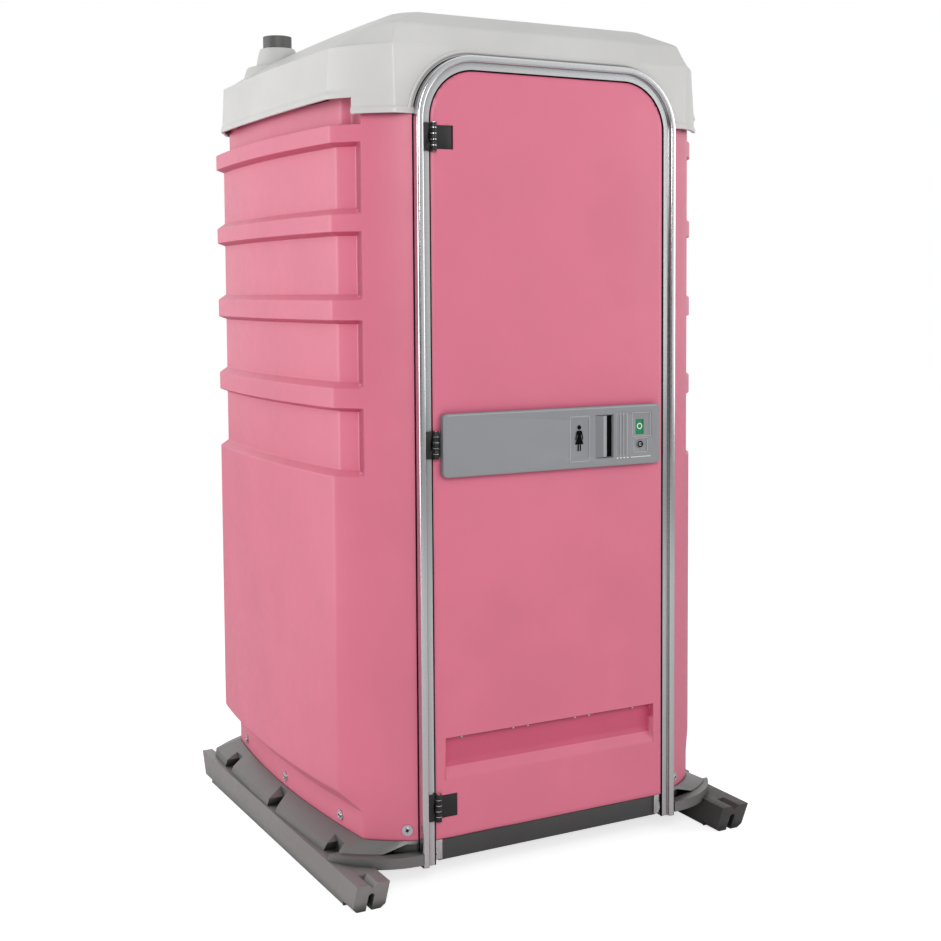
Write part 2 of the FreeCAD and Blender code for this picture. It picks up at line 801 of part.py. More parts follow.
def back_wall_shape():
    """The rear panel, ribbed like the sides, which lies inside the corner flanges."""
    outer = d.rear_wall_y.value - sheet_wall
    half = -(foot_plan.facet[0] + 7.5)
    foot, top = d.wall_foot.value, d.wall_top.value
    panel_half = half - 45
    slab = Part.makeBox(2 * half, sheet_wall, top - foot, Vector(-half, outer - sheet_wall, foot))
    for low, high, depth, slope in panels():
        if high > top:
            continue
        lean = sheet_wall * math.tan(math.atan2(depth, slope) / 2)

        def trough(inset, shift, half_width):
            """A tapered block from the rear face inwards."""
            faces = []
            for y, grow in ((outer + inset, 0.0), (outer + inset - depth, slope)):
                side = half_width - grow
                points = [
                    Vector(-side, y, low + grow - shift),
                    Vector(side, y, low + grow - shift),
                    Vector(side, y, high - grow + shift),
                    Vector(-side, y, high - grow + shift),
                ]
                faces.append(Part.makePolygon(points + points[:1]))
            return loft(faces)

        slab = slab.fuse(trough(-sheet_wall, lean, panel_half + lean))
        slab = slab.cut(trough(0.0, 0.0, panel_half))
    for side in (-1, 1):
        for z in RIVETS:
            slab = slab.cut(along((side * seam_x, rivet_y - 60, z), (0, 1, 0), 2.5, 90))
    return slab


node("back_wall", shaped("BackWall", back_wall_shape()))


def rivet(spot, out, grip, head_radius=6, shank=2.4):
    """A blind rivet: head outside, shank through the grip, tail inside."""
    whole = along(spot, out, head_radius, 2)
    whole = whole.fuse(along(moved(spot, out, -grip), out, shank, grip))
    return whole.fuse(along(moved(spot, out, -grip - 2), out, shank + 1.6, 2))


seam_rivets = [
    rivet((side * seam_x, rivet_y, z), (0, 1, 0), 2 * sheet_wall) for side in (-1, 1) for z in RIVETS
]
node("seam_rivets", shaped("SeamRivets", Part.makeCompound(seam_rivets)))


# Roof

def ring(z, front_y, front_half, corner, side_x, rear, back_half, back_y, inset=0.0, bulge=0.078):
    """A closed eight-sided outline with curved front corners and sides, symmetrical about X."""
    f = (front_half - 0.45 * inset, front_y + inset)
    c = (corner[0] - inset, corner[1] + 0.45 * inset)
    s = (side_x - inset, (corner[1] + rear[1]) / 2)
    r = (rear[0] - inset, rear[1] - 0.45 * inset)
    b = (back_half - 0.45 * inset, back_y - inset)
    dx, dy = c[0] - f[0], c[1] - f[1]
    m = ((f[0] + c[0]) / 2 + bulge * dy, (f[1] + c[1]) / 2 - bulge * dx)

    def left(*points):
        return [(-x, y) for x, y in points]

    return outline(
        [
            [f, (-f[0], f[1])],
            left(f, m, c),
            left(c, s, r),
            left(r, b),
            [(-b[0], b[1]), b],
            [b, r],
            [r, s, c],
            [c, m, f],
        ],
        z,
    )


fold, rear = main_plan.fold, main_plan.rear
skirt_half = d.skirt_half.value
skirt_low = dict(
    front_y=mount_y.value,
    front_half=d.fascia_half.value,
    corner=(skirt_half - 4, fold[1]),
    side_x=skirt_half,
    rear=(skirt_half - 11, rear[1] - 79),
    back_half=skirt_half - 69,
    back_y=d.rear_wall_y.value + 10,
)
skirt_high = dict(
    front_y=mount_y.value,
    front_half=d.fascia_half.value + 5,
    corner=(skirt_half - 16, fold[1] + 11),
    side_x=skirt_half - 8,
    rear=(skirt_half - 18, rear[1] - 77),
    back_half=skirt_half - 78,
    back_y=d.rear_wall_y.value + 3,
)
crown_half = d.crown_half.value
shoulder_ring = dict(
    front_y=mount_y.value + 23,
    front_half=crown_half + 53,
    corner=(crown_half + 84, fold[1] - 4),
    side_x=crown_half + 92,
    rear=(crown_half + 76, rear[1] - 85),
    back_half=crown_half + 42,
    back_y=d.rear_wall_y.value - 95,
)
crown_ring = dict(
    front_y=mount_y.value + 90,
    front_half=crown_half - 46,
    corner=(crown_half, fold[1] + 2),
    side_x=crown_half + 6,
    rear=(crown_half - 4, rear[1] - 170),
    back_half=crown_half - 40,
    back_y=d.rear_wall_y.value - 165,
)
cap_ring = dict(
    front_y=mount_y.value + 250,
    front_half=crown_half - 190,
    corner=(crown_half - 150, fold[1] + 130),
    side_x=crown_half - 146,
    rear=(crown_half - 152, rear[1] - 330),
    back_half=crown_half - 190,
    back_y=d.rear_wall_y.value - 320,
)


def roof_solid(inset):
    """The filled roof; with an inset, what is taken out of it to leave the sheet."""
    over = 5.0 if inset else 0.0
    stack = [
        (d.apron_foot.value - over, skirt_low),
        (d.skirt_foot.value, skirt_low),
        (d.skirt_top.value - 0.7 * inset, skirt_high),
        (d.fascia_top.value - 0.9 * inset, shoulder_ring),
        (d.crown.value - inset, crown_ring),
        ((d.crown + d.crown_rise).value - inset, cap_ring),
    ]
    return loft([ring(z, inset=inset, **shape) for z, shape in stack])


roof_wall = d.roof_thickness.value
hollow = roof_solid(roof_wall)
vent_spot = (d.vent_x.value, d.vent_y.value)
boss_low = d.skirt_top.value - 20
boss_flare = 12
boss = Part.makeCone(
    d.boss_foot.value + boss_flare,
    d.boss_foot.value - boss_flare,
    d.boss_step.value - boss_low,
    Vector(*vent_spot, boss_low),
)
boss = boss.fuse(
    Part.makeCone(
        d.vent_radius.value + 23,
        d.vent_radius.value + 10,
        (d.boss_top - d.boss_step).value,
        Vector(*vent_spot, d.boss_step.value),
    )
)
roof = roof_solid(0).fuse(boss).cut(hollow)
ledge_low = d.wall_top.value
ledge_hole = dict(
    front_y=mount_y.value + 96,
    front_half=d.fascia_half.value - 50,
    corner=(-fold[0] - 63, fold[1] + 43),
    side_x=d.wall_half.value - 58,
    rear=(-rear[0] - 60, rear[1] - 34),
    back_half=-rear[0] - 88,
    back_y=d.rear_wall_y.value - 42,
)
ledge = prism(ring(ledge_low, inset=4.0, **skirt_low), roof_wall).cut(
    prism(ring(ledge_low - 1, **ledge_hole), roof_wall + 2)
)
doorway = d.frame_half.value - 30
ledge = ledge.cut(
    Part.makeBox(2 * doorway, 120, 40, Vector(-doorway, mount_y.value - 20, ledge_low - 10))
)
roof = roof.fuse(ledge)
apron_end = front.value + d.apron_back.value
roof = roof.cut(
    Part.makeBox(1400, 1400, 100, Vector(-700, apron_end, d.skirt_foot.value - 100))
)


def flat_wire(corners, y):
    """The outline of a corner list as a wire on a plane of constant y."""
    edges = []
    for i, corner in enumerate(corners):
        p = [float(v) for v in corner[:2]]
        q = [float(v) for v in corners[(i + 1) % len(corners)][:2]]
        if len(corner) == 2:
            edges.append(Part.makeLine(Vector(p[0], y, p[1]), Vector(q[0], y, q[1])))
        else:
            radius = float(corner[2])
            (cx, cz), a, b = arc_between(p, q, radius, corner[3])
            middle = (a + b) / 2
            via = (cx + radius * math.cos(middle), cz + radius * math.sin(middle))
            edges.append(
                Part.Arc(Vector(p[0], y, p[1]), Vector(via[0], y, via[1]), Vector(q[0], y, q[1])).toShape()
            )
    return Part.Wire(edges)


def plate(corners, y_low, y_high):
    """A flat plate of that outline between two y planes."""
    return Part.Face(flat_wire(corners, y_low)).extrude(Vector(0, y_high - y_low, 0))


mount = mount_y.value
cover = 32
opening_arch = arch(
    d.frame_half - cover, d.apron_foot - 40, d.frame_top - cover, d.frame_radius - cover
)
opening = plate(opening_arch, mount - 30, mount + 60)
bead = plate(
    hoop(-d.bead_gap - d.bead_width, -d.bead_gap, d.apron_foot - 60), mount - 3, mount + 7
)
bead = bead.cut(Part.makeBox(1200, 60, 200, Vector(-600, mount - 30, d.apron_foot.value - 200)))
roof = roof.fuse(bead).cut(opening)
roof = roof.cut(along((*vent_spot, 1900), (0, 0, 1), d.vent_radius.value + CLEAR, 600))
node("roof", shaped("Roof", roof))


# Base pan

pan_low = dict(
    front_y=mount,
    front_half=d.frame_half.value + 35,
    corner=(d.pan_width.value / 2 - 19, fold[1] - 62),
    side_x=d.pan_width.value / 2,
    rear=(d.pan_width.value / 2 - 14, d.rear_wall_y.value - 18),
    back_half=d.pan_width.value / 2 - 70,
    back_y=d.rear_wall_y.value + 34,
)
pan_bend = dict(
    front_y=mount,
    front_half=d.frame_half.value + 24,
    corner=(d.pan_width.value / 2 - 25, fold[1] - 60),
    side_x=d.pan_width.value / 2 - 1,
    rear=(d.pan_width.value / 2 - 17, d.rear_wall_y.value - 19),
    back_half=d.pan_width.value / 2 - 75,
    back_y=d.rear_wall_y.value + 31,
)
rim = 4
pan_high = dict(
    front_y=mount,
    front_half=d.frame_half.value + 2,
    corner=(-foot_plan.fold[0] + rim, foot_plan.fold[1] - 2),
    side_x=-at_level(*foot_plan.side, 60)[0] + rim,
    rear=(-foot_plan.rear[0] + rim, foot_plan.rear[1] + 3),
    back_half=-foot_plan.facet[0] + 2,
    back_y=d.rear_wall_y.value + rim,
)
skid_top, ledge_z, deck = d.skid_height.value, d.wall_foot.value, d.deck_top.value
pan_wall = d.pan_wall.value


def room_fill(inset, low, high):
    """The room's whole plan, inside the walls and the rear panel."""
    jamb_y = foot_plan.jamb[1] + inset
    start = at_level(foot_plan.corner[0], foot_plan.corner[1] - inset, jamb_y)
    bend = foot_plan.fold_at(inset)
    back = at_level(foot_plan.side[0], foot_plan.side[1] - inset, foot_plan.rear[1] - inset * 0.45)
    facet = (foot_plan.facet[0] + inset * 0.55, foot_plan.facet[1] - inset - sheet_wall)
    corner = foot_plan.arc(foot_plan.corner, inset, start, bend)
    side = foot_plan.arc(foot_plan.side, inset, bend, back)

    def flipped(points):
        return [(-x, y) for x, y in reversed(points)]

    return prism(
        outline(
            [
                [(-start[0], start[1]), start],
                corner,
                side,
                [back, facet],
                [facet, (-facet[0], facet[1])],
                flipped([back, facet]),
                flipped(side),
                flipped(corner),
            ],
            low,
        ),
        high - low,
    )


fit = sheet_wall + CLEAR
upstand_top = ledge_z + d.upstand_height.value
bend = d.flank_bend.value
pan = loft([ring(skid_top, **pan_low), ring(bend, **pan_bend), ring(ledge_z, **pan_high)])
pan = pan.fuse(room_fill(fit, ledge_z - 2, upstand_top))
pan = pan.cut(room_fill(fit + pan_wall, deck, upstand_top + 20))
under = loft(
    [
        ring(skid_top - 8, inset=pan_wall, **pan_low),
        ring(bend - 2, inset=pan_wall, **pan_bend),
        ring(ledge_z - pan_wall, inset=pan_wall, **pan_high),
    ]
)

# Corner grip bars, side pockets and screw pads of the pan

bar = d.grip_bar.value
bar_low, bar_high = d.bar_low.value, d.bar_high.value
bar_path = circle_through((-d.frame_half.value, front.value + 15), (-490, -520), (-582, -438))


def grip_bar():
    """A curved bar from the pan's flank to the jamb."""
    (cx, cy), radius = bar_path
    band = Part.makeCylinder(radius + bar / 2, bar_high - bar_low, Vector(cx, cy, bar_low))
    band = band.cut(Part.makeCylinder(radius - bar / 2, 200, Vector(cx, cy, 0)))
    edge = d.skid_track.value / 2 - 2
    keep = Part.makeBox(edge - d.frame_half.value, 175, 200, Vector(-edge, front.value - 40, 0))
    return band.common(keep)


def hand_hold():
    """The finger gap over the grip bar, which narrows away from the jamb."""
    jamb_x = -d.frame_half.value - 2
    ahead = front.value - 92
    outline_xz = [(-100, 0), (0, 0), (0, 19), (-30, 22)]
    points = [Vector(jamb_x + x, ahead, bar_high + z) for x, z in outline_xz]
    gap = Part.Face(Part.makePolygon(points + points[:1])).extrude(Vector(0, 200, 0))
    return gap.cut(room_fill(fit, deck - d.deck_thickness.value, ledge_z + 20))


pocket_y = [i * d.pocket_pitch.value + d.pocket_shift.value for i in (-1, 0, 1)]


def flank_pocket(y, grow):
    """A leaning six-sided gap between two flank panels, down to the skid."""
    low, high = skid_top - 1, ledge_z - 3
    outline_yz = [(-30, low), (29, low), (14, bend), (40, high), (-12, high), (-52, bend)]
    start = -d.pan_width.value / 2 - 60
    points = [Vector(start, y + a + math.copysign(grow, a), z) for a, z in outline_yz]
    depth = 60 + d.pocket_floor.value - 5 + grow
    return Part.Face(Part.makePolygon(points + points[:1])).extrude(Vector(depth, 0, 0))


PAD = (34, 80, 6)
screw_x = (skid_outer - d.bolt_inset).value


def foot_pad(y):
    """The pan's screw pad on the skid behind a pocket."""
    return Part.makeBox(PAD[0], PAD[1], PAD[2], Vector(-screw_x - 20, y - PAD[1] / 2, skid_top))


left_side = [flank_pocket(y, 0) for y in pocket_y] + [hand_hold()]
linings = [flank_pocket(y, pan_wall - 1) for y in pocket_y]
pads = [foot_pad(y) for y in pocket_y]
bars = [grip_bar()]
skid_space = Part.makeBox(
    d.skid_width.value, 1400, skid_top, Vector(-skid_outer.value, -700, 0)
)


def both(shapes):
    """The shapes and their mirror images."""
    return shapes + [s.mirror(Vector(0, 0, 0), Vector(1, 0, 0)) for s in shapes]


under = under.cut([room_fill(fit, deck - d.deck_thickness.value, ledge_z + 20)] + both(linings))
pan = pan.cut(under)
pan = pan.fuse(both(bars))
pan = pan.cut(both([skid_space]))
pan = pan.cut(both(left_side))
pan = pan.fuse(both(pads))
sill = ledge_z - 10
pan = pan.cut(Part.makeBox(2 * 362, 60, 200, Vector(-362, mount - 10, sill)))
jamb_room = Part.makeBox(18.5, 60, 300, Vector(-362, mount - 40, 60))
pan = pan.cut(both([jamb_room]))
for spot, out in wall_bolt_places():
    hole = along(moved(spot, out, -40), out, d.shank_radius.value + CLEAR, 60)
    pan = pan.cut(both([hole]))
for y in pocket_y:
    pan = pan.cut(both([along((-screw_x, y, 60), (0, 0, 1), 5.3, 60)]))
treads = []
tread_y = d.tread_front.value
while tread_y < d.tank_toe.value - 20:
    treads.append(
        Part.makeBox(860, d.tread_width.value, d.tread_height.value, Vector(-430, tread_y, deck))
    )
    tread_y += d.tread_pitch.value
pan = pan.fuse(treads)
foot_screw_z = 90.0
foot_screw_x = (d.frame_half - d.stop_reach + 2).value
FOOT_SCREW_HOLE = 2.6
for side in (-1, 1):
    pan = pan.cut(along((side * foot_screw_x, mount - 30, foot_screw_z), (0, 1, 0), FOOT_SCREW_HOLE, 60))
node("base_pan", shaped("BasePan", pan))

# Skids

def skid_body():
    """The left skid: a beam with raked heads, an anchor slot and a rope groove."""
    owner = body("SkidLeft")
    end = d.skid_length / 2
    foot = end - d.head_rake
    neck = end - d.head_length
    side_view = [
        (-end, d.skid_height),
        (-foot, 0),
        (-neck, 0),
        (4 - neck, d.beam_lift),
        (neck - 4, d.beam_lift),
        (neck, 0),
        (foot, 0),
        (end, d.skid_height),
    ]
    pad(owner, sketch_on(owner, "YZ_Plane", -skid_outer, [side_view], "SkidSide"), d.skid_width)
    middle = -(skid_outer + skid_inner) / 2
    half = d.slot_width / 2
    slot = [
        (middle - half, -10),
        (middle + half, -10),
        (middle + half, d.slot_height - half, half, 1),
        (middle, d.slot_height, half, 1),
        (middle - half, d.slot_height - half),
    ]
    front_pocket(owner, "SkidSlot", [slot], (-end - 5, end + 5))
    groove = [
        (middle - d.groove_half, d.skid_height + 1),
        (middle, d.skid_height - d.groove_depth),
        (middle + d.groove_half, d.skid_height + 1),
    ]
    front_pocket(owner, "GrooveFront", [groove], (-end - 5, -neck - 20))
    front_pocket(owner, "GrooveRear", [groove], (neck + 20, end + 5))
    for place in pocket_y:
        sketch = sketch_on(owner, "XY_Plane", d.skid_height, [], "ScrewHole")
        sketch.addGeometry(Part.Circle(Vector(-screw_x, place, 0), Vector(0, 0, 1), 5.3), False)
        pocket(owner, sketch, 26)
    bevel = d.head_bevel
    corners = []
    for x, turn in ((-skid_outer, 1), (-skid_inner, -1)):
        corner = [
            (x, -1),
            (x + turn * bevel, -1),
            (x + turn * bevel, 0),
            (x, bevel),
            (x - turn, bevel),
            (x - turn, -1),
        ]
        corners.append(corner)
    for tag, reach in (("Front", (-end - 5, -neck)), ("Rear", (neck, end + 5))):
        for i, triangle in enumerate(corners):
            front_pocket(owner, "Bevel%s%d" % (tag, i), [triangle], reach)
    return owner


skid_left = node("skid_left", skid_body())
node("skid_right", mirrored("SkidRight", skid_left))

skid_bolts = []
for side in (-1, 1):
    for place in pocket_y:
        head = along((side * screw_x, place, skid_top + 6), (0, 0, 1), 11, 1.5)
        head = head.fuse(along((side * screw_x, place, skid_top + 7.5), (0, 0, 1), 8, 5.5))
        head = head.fuse(along((side * screw_x, place, skid_top - 24), (0, 0, 1), 5, 31))
        skid_bolts.append(head)
node("skid_bolts", shaped("SkidBolts", Part.makeCompound(skid_bolts)))

wall_bolts = []
grip = fit + pan_wall
for spot, out in wall_bolt_places():
    whole = along(spot, out, d.washer_radius.value, 2.5)
    whole = whole.fuse(along(moved(spot, out, 2.5), out, 7.0, 2.2))
    whole = whole.fuse(along(moved(spot, out, -grip - 8), out, d.shank_radius.value, grip + 9))
    nut = along(moved(spot, out, -grip - 6.2), out, 7.5, 6.0)
    wall_bolts.append(whole.fuse(nut))
node("wall_bolts", shaped("WallBolts", Part.makeCompound(both(wall_bolts))))

# Door frame

frame = body("DoorFrame")
front_pad(frame, "FrameTube", [hoop(0, d.lip_width, d.frame_foot)], (front, mount_y))
flange_y = front + d.flange_set
web_from = d.flange_reach - d.flange_thickness
flange_hoop = hoop(d.lip_width - 1, d.flange_reach, d.frame_foot)
front_pad(frame, "FrameFlange", [flange_hoop], (flange_y, flange_y + d.flange_thickness))
stop_back = stop_y + d.flange_thickness
front_pad(frame, "FrameWeb", [hoop(web_from, d.flange_reach, d.frame_foot)], (flange_y, stop_back))
front_pad(frame, "FrameStop", [hoop(web_from, d.stop_reach, d.frame_foot)], (stop_y, stop_back))
front_pocket(
    frame,
    "FrameBore",
    [hoop(d.lip_wall, d.lip_width - d.lip_wall, d.frame_foot - 5)],
    (front + d.lip_wall, mount_y - d.lip_wall),
)
doc.recompute()
tube = frame.Tip
round_edges = []
for i, edge in enumerate(tube.Shape.Edges, start=1):
    ends = [v.Point for v in edge.Vertexes]
    on_front = all(abs(p.y - float(front)) < 0.01 for p in ends)
    across = abs(ends[0].z - ends[-1].z) < 0.01 and abs(ends[0].z - d.frame_foot.value) < 0.01
    if on_front and not across:
        round_edges.append("Edge%d" % i)
round_lip = frame.newObject("PartDesign::Fillet", "RoundLip")
round_lip.Base = (tube, round_edges)
round_lip.Radius = 5
node("door_frame", frame)

stop_half = d.frame_half - d.stop_reach
threshold_x = (1.5 - stop_half, stop_half - 1.5)
web_half = d.frame_half - d.flange_reach
threshold_front = mount_y - 8
threshold = fused(
    "Threshold",
    [
        box("ThresholdFace", threshold_x, (threshold_front, mount_y), (d.frame_foot + 5, ledge_z - 6)),
        box("ThresholdTread", threshold_x, (mount_y, mount_y + 46), (sill, ledge_z - 6)),
    ],
)


def front_screw(x, z, y, head=5.0, length=14):
    """A pan-head screw driven in from the front."""
    whole = along((x, y - 2.4, z), (0, 1, 0), head, 2.4)
    return whole.fuse(along((x, y, z), (0, 1, 0), 2.4, length))


threshold_holes = [
    rod(
        "ThresholdHole%d" % (side + 1),
        "y",
        FOOT_SCREW_HOLE,
        (side * foot_screw_x, threshold_front - 1, foot_screw_z),
        12,
    )
    for side in (-1, 1)
]
node("threshold", cut("ThresholdDrilled", threshold, threshold_holes))
foot_plate_y = threshold_front - 5
foot_left = box(
    "FootPlate",
    (-web_half, 11 - stop_half),
    (foot_plate_y, threshold_front),
    (d.frame_foot + 10, ledge_z - 3.5),
)
foot_hole = rod("FootPlateHole", "y", FOOT_SCREW_HOLE, (-foot_screw_x, foot_plate_y - 1, foot_screw_z), 8)
foot_left = cut("FootPlateLeft", foot_left, [foot_hole])
node("frame_feet", group("FrameFeet", [foot_left, mirrored("FootPlateRight", foot_left)]))
node(
    "foot_screws",
    shaped(
        "FootScrews",
        Part.makeCompound(
            [front_screw(side * foot_screw_x, foot_screw_z, foot_plate_y.value) for side in (-1, 1)]
        ),
    ),
)

# Door skins

panel_y = door_y
border_y = door_y + d.panel_rise
skin_back = door_back - d.door_skin
door = body("DoorOuterSkin")
front_pad(door, "DoorBlank", [arch(door_half, d.door_foot, door_top, door_radius)], (border_y, skin_back))
panel_half = door_half - d.panel_margin
panel_top = door_top - d.panel_margin
panel_radius = door_radius - d.panel_margin
front_pad(
    door,
    "DoorPanel",
    [arch(panel_half, d.door_foot + 24, panel_top, panel_radius)],
    (panel_y, border_y + 1),
)
tray = d.door_skin
front_pocket(
    door,
    "DoorTray",
    [arch(door_half - tray, d.door_foot + tray, door_top - tray, door_radius - tray)],
    (border_y + tray, skin_back),
)
front_pocket(
    door,
    "PanelTray",
    [arch(panel_half - tray, d.door_foot + 24 + tray, panel_top - tray, panel_radius - tray)],
    (panel_y + tray, border_y + tray),
)
deep_y = panel_y + d.kick_depth
bump = [
    (border_y + 1, d.kick_top + tray),
    (deep_y + tray, d.kick_top + tray),
    (deep_y + tray, d.kick_top - 41),
    (border_y + 1, d.kick_foot - 4),
]
pad(
    door,
    sketch_on(door, "YZ_Plane", 0, [bump], "KickBump"),
    2 * (d.kick_half + tray),
    middle=True,
)
wedge = [
    (panel_y - 5, d.kick_top),
    (deep_y, d.kick_top),
    (deep_y, d.kick_top - 41),
    (panel_y - 1, d.kick_foot - 4),
    (panel_y - 5, d.kick_foot - 4),
]
pocket(
    door,
    sketch_on(door, "YZ_Plane", 0, [wedge], "KickRecess"),
    2 * d.kick_half,
    middle=True,
)
KICK_SLOTS = [(-276, -121), (-76, 72), (117, 260)]
slot_y = (panel_y + 6, deep_y - 2)
for left, right in KICK_SLOTS:
    sketch = sketch_on(
        door, "XY_Plane", d.kick_top - 1, [rectangle((left + 10, right - 10), slot_y)], "VentSlot"
    )
    pocket(door, sketch, tray + 2, reverse=True)
peg_sketch = sketch_on(door, "XY_Plane", d.kick_top - 1, [], "PegHoles")
for place in [x for pair in KICK_SLOTS for x in pair]:
    peg_sketch.addGeometry(
        Part.Circle(Vector(place, panel_y.value + 8, 0), Vector(0, 0, 1), 2.0), False
    )
pocket(door, peg_sketch, tray + 2, reverse=True)
levels = {"lower": d.hinge_low, "middle": d.hinge_middle, "upper": d.hinge_high}
leaf_half = d.hinge_height / 2 - 5
for level in levels.values():
    notch = rectangle((-door_half - 1, pin_x + d.leaf_reach + 0.5), (level - leaf_half, level + leaf_half))
    front_pocket(door, "LeafNotch", [notch], (panel_y - 1, panel_y + d.leaf_thickness))
    knuckle = rectangle(
        (-door_half - 1, pin_x + d.knuckle_radius + 1.5),
        (level - d.hinge_height / 2 - 1, level + d.hinge_height / 2 + 1),
    )
    front_pocket(door, "KnuckleNotch", [knuckle], (panel_y - 1, pin_y + d.knuckle_radius + 0.6))
shaft_hole = d.shaft_radius + 0.3
stem_x, stem_z, stem_radius = d.flag_left - 16, d.flag_foot + 21, 4.0
travel = d.flag_width


def lock_holes(owner, tag, y):
    """The shaft hole and the flag stem's slot through one skin."""
    sketch = sketch_on(owner, "XZ_Plane", -size(y[0]), [], tag + "ShaftHole")
    centre = Vector(d.lock_x.value, d.lock_z.value, 0)
    sketch.addGeometry(Part.Circle(centre, Vector(0, 0, 1), float(shaft_hole)), False)
    pocket(owner, sketch, size(y[1]) - y[0])
    slot = rounded(
        (stem_x - stem_radius - 0.6, stem_x + travel + stem_radius + 0.6),
        (stem_z - stem_radius - 0.6, stem_z + stem_radius + 0.6),
        4.2,
    )
    front_pocket(owner, tag + "StemSlot", [slot], y)


lock_holes(door, "Outer", (panel_y - 1, panel_y + 6))
node("door_outer_skin", door)

lining = body("DoorInnerSkin")
front_pad(
    lining,
    "LiningPlate",
    [arch(door_half, d.door_foot, door_top, door_radius)],
    (skin_back, door_back),
)
front_pocket(
    lining,
    "LiningVents",
    [rounded((left, right), (d.kick_top + 22, d.kick_top + 34), 4) for left, right in KICK_SLOTS],
    (skin_back - 1, door_back + 1),
)
lock_holes(lining, "Inner", (skin_back - 1, door_back + 1))
node("door_inner_skin", lining)

screens, pegs = [], []
for i, (left, right) in enumerate(KICK_SLOTS):
    strip = box(
        "VentScreen%d" % i,
        (left - 8, right + 8),
        (panel_y + 3, deep_y - 0.5),
        (d.kick_top - d.screen_thickness, d.kick_top),
    )
    holes = []
    for j, x in enumerate((left, right)):
        holes.append(rod("PegHole%d%d" % (i, j), "z", 2.0, (x, panel_y + 8, d.kick_top - 5), 12))
        low = (x, panel_y.value + 8, d.kick_top.value - d.screen_thickness.value - 4)
        peg = along(low, (0, 0, 1), 3.6, 4)
        pegs.append(peg.fuse(along(low, (0, 0, 1), 1.9, 12)))
    screens.append(cut("VentScreenDrilled%d" % i, strip, holes))
node("door_vent_screens", group("DoorVentScreens", screens))
node("vent_pegs", shaped("VentPegs", Part.makeCompound(pegs)))

# Hinges

knuckle_height = (d.hinge_height - 2 * d.knuckle_gap) / 3
bore_radius = d.pin_radius + d.pin_clearance
leaf_y = (panel_y, panel_y + d.leaf_thickness)
frame_leaves, door_leaves, pins = [], [], []
for name, level in levels.items():
    tag = name.capitalize()
    low, high = level - d.hinge_height / 2, level + d.hinge_height / 2
    knuckles = [
        rod("FrameKnuckleLow" + tag, "z", d.knuckle_radius, (pin_x, pin_y, low), knuckle_height),
        rod(
            "FrameKnuckleHigh" + tag,
            "z",
            d.knuckle_radius,
            (pin_x, pin_y, high - knuckle_height),
            knuckle_height,
        ),
    ]
    plate_y_limits = (flange_y - 3, flange_y)
    wings = [
        box("FrameWing%s%d" % (tag, i), (-web_half - 18, -web_half + 0.5), plate_y_limits, limits)
        for i, limits in enumerate(((low, low + knuckle_height), (high - knuckle_height, high)))
    ]
    spine = box("FrameSpine" + tag, (-web_half - 18, -web_half - 3.5), plate_y_limits, (low, high))
    bore = rod("FrameBore" + tag, "z", bore_radius, (pin_x, pin_y, low - 1), d.hinge_height + 2)
    blank = fused("FrameLeafBlank" + tag, knuckles + wings + [spine])
    frame_leaves.append(cut("FrameLeaf" + tag, blank, [bore]))
    middle = level - knuckle_height / 2
    barrel = rod("DoorKnuckle" + tag, "z", d.knuckle_radius, (pin_x, pin_y, middle), knuckle_height)
    web = box("DoorWeb" + tag, (pin_x + 4, pin_x + 14), leaf_y, (middle, middle + knuckle_height))
    leaf = box(
        "DoorFlap" + tag,
        (pin_x + d.knuckle_radius + 0.6, pin_x + d.leaf_reach),
        leaf_y,
        (level - leaf_half + CLEAR, level + leaf_half - CLEAR),
    )
    hole = rod("DoorBore" + tag, "z", bore_radius, (pin_x, pin_y, middle - 1), knuckle_height + 2)
    door_leaves.append(cut("DoorLeaf" + tag, fused("DoorLeafBlank" + tag, [barrel, web, leaf]), [hole]))
    shank = rod("PinShank" + tag, "z", d.pin_radius, (pin_x, pin_y, low - 1.5), d.hinge_height + 2)
    cap = rod("PinHead" + tag, "z", d.pin_radius + 2, (pin_x, pin_y, high + CLEAR), 2.0)
    pins.append(fused("Pin" + tag, [shank, cap]))
node("hinge_frame_leaves", group("HingeFrameLeaves", frame_leaves))
node("hinge_door_leaves", group("HingeDoorLeaves", door_leaves))
node("hinge_pins", group("HingePins", pins))

# Lock plate

lock = body("LockPlate")
lock_u, lock_v = (d.plate_left, d.plate_right), (d.plate_foot, d.plate_top)
front_pad(lock, "LockBlank", [rounded(lock_u, lock_v, d.plate_radius)], (plate_y, panel_y))
doc.recompute()
blank = lock.Tip
rim = []
for i, edge in enumerate(blank.Shape.Edges, start=1):
    if all(abs(v.Point.y - float(plate_y)) < 0.01 for v in edge.Vertexes):
        rim.append("Edge%d" % i)
soft = lock.newObject("PartDesign::Fillet", "LockRim")
soft.Base = (blank, rim)
soft.Radius = 3
inner = d.plate_wall
front_pocket(
    lock,
    "LockHollow",
    [
        rounded(
            (d.plate_left + inner, d.plate_right - inner),
            (d.plate_foot + inner, d.plate_top - inner),
            d.plate_radius - inner,
        )
    ],
    (plate_y + inner, panel_y),
)
grip_u = (d.grip_left, d.grip_left + d.grip_width)
grip_v = (d.grip_foot, d.grip_foot + d.grip_height)
front_pad(
    lock,
    "GripCup",
    [
        rounded(
            (grip_u[0] - inner, grip_u[1] + inner), (grip_v[0] - inner, grip_v[1] + inner), 4
        )
    ],
    (plate_y + inner - 1, panel_y),
)
grip_floor = [
    (grip_u[0], plate_y - 1),
    (grip_u[1], plate_y - 1),
    (grip_u[1], plate_y + d.grip_depth),
    (grip_u[1] - 21, plate_y + d.grip_depth, 120, 1),
    (grip_u[0], plate_y + 1),
]
grip_sketch = sketch_on(lock, "XY_Plane", d.grip_foot, [grip_floor], "GripRecess")
pocket(lock, grip_sketch, d.grip_height, reverse=True)
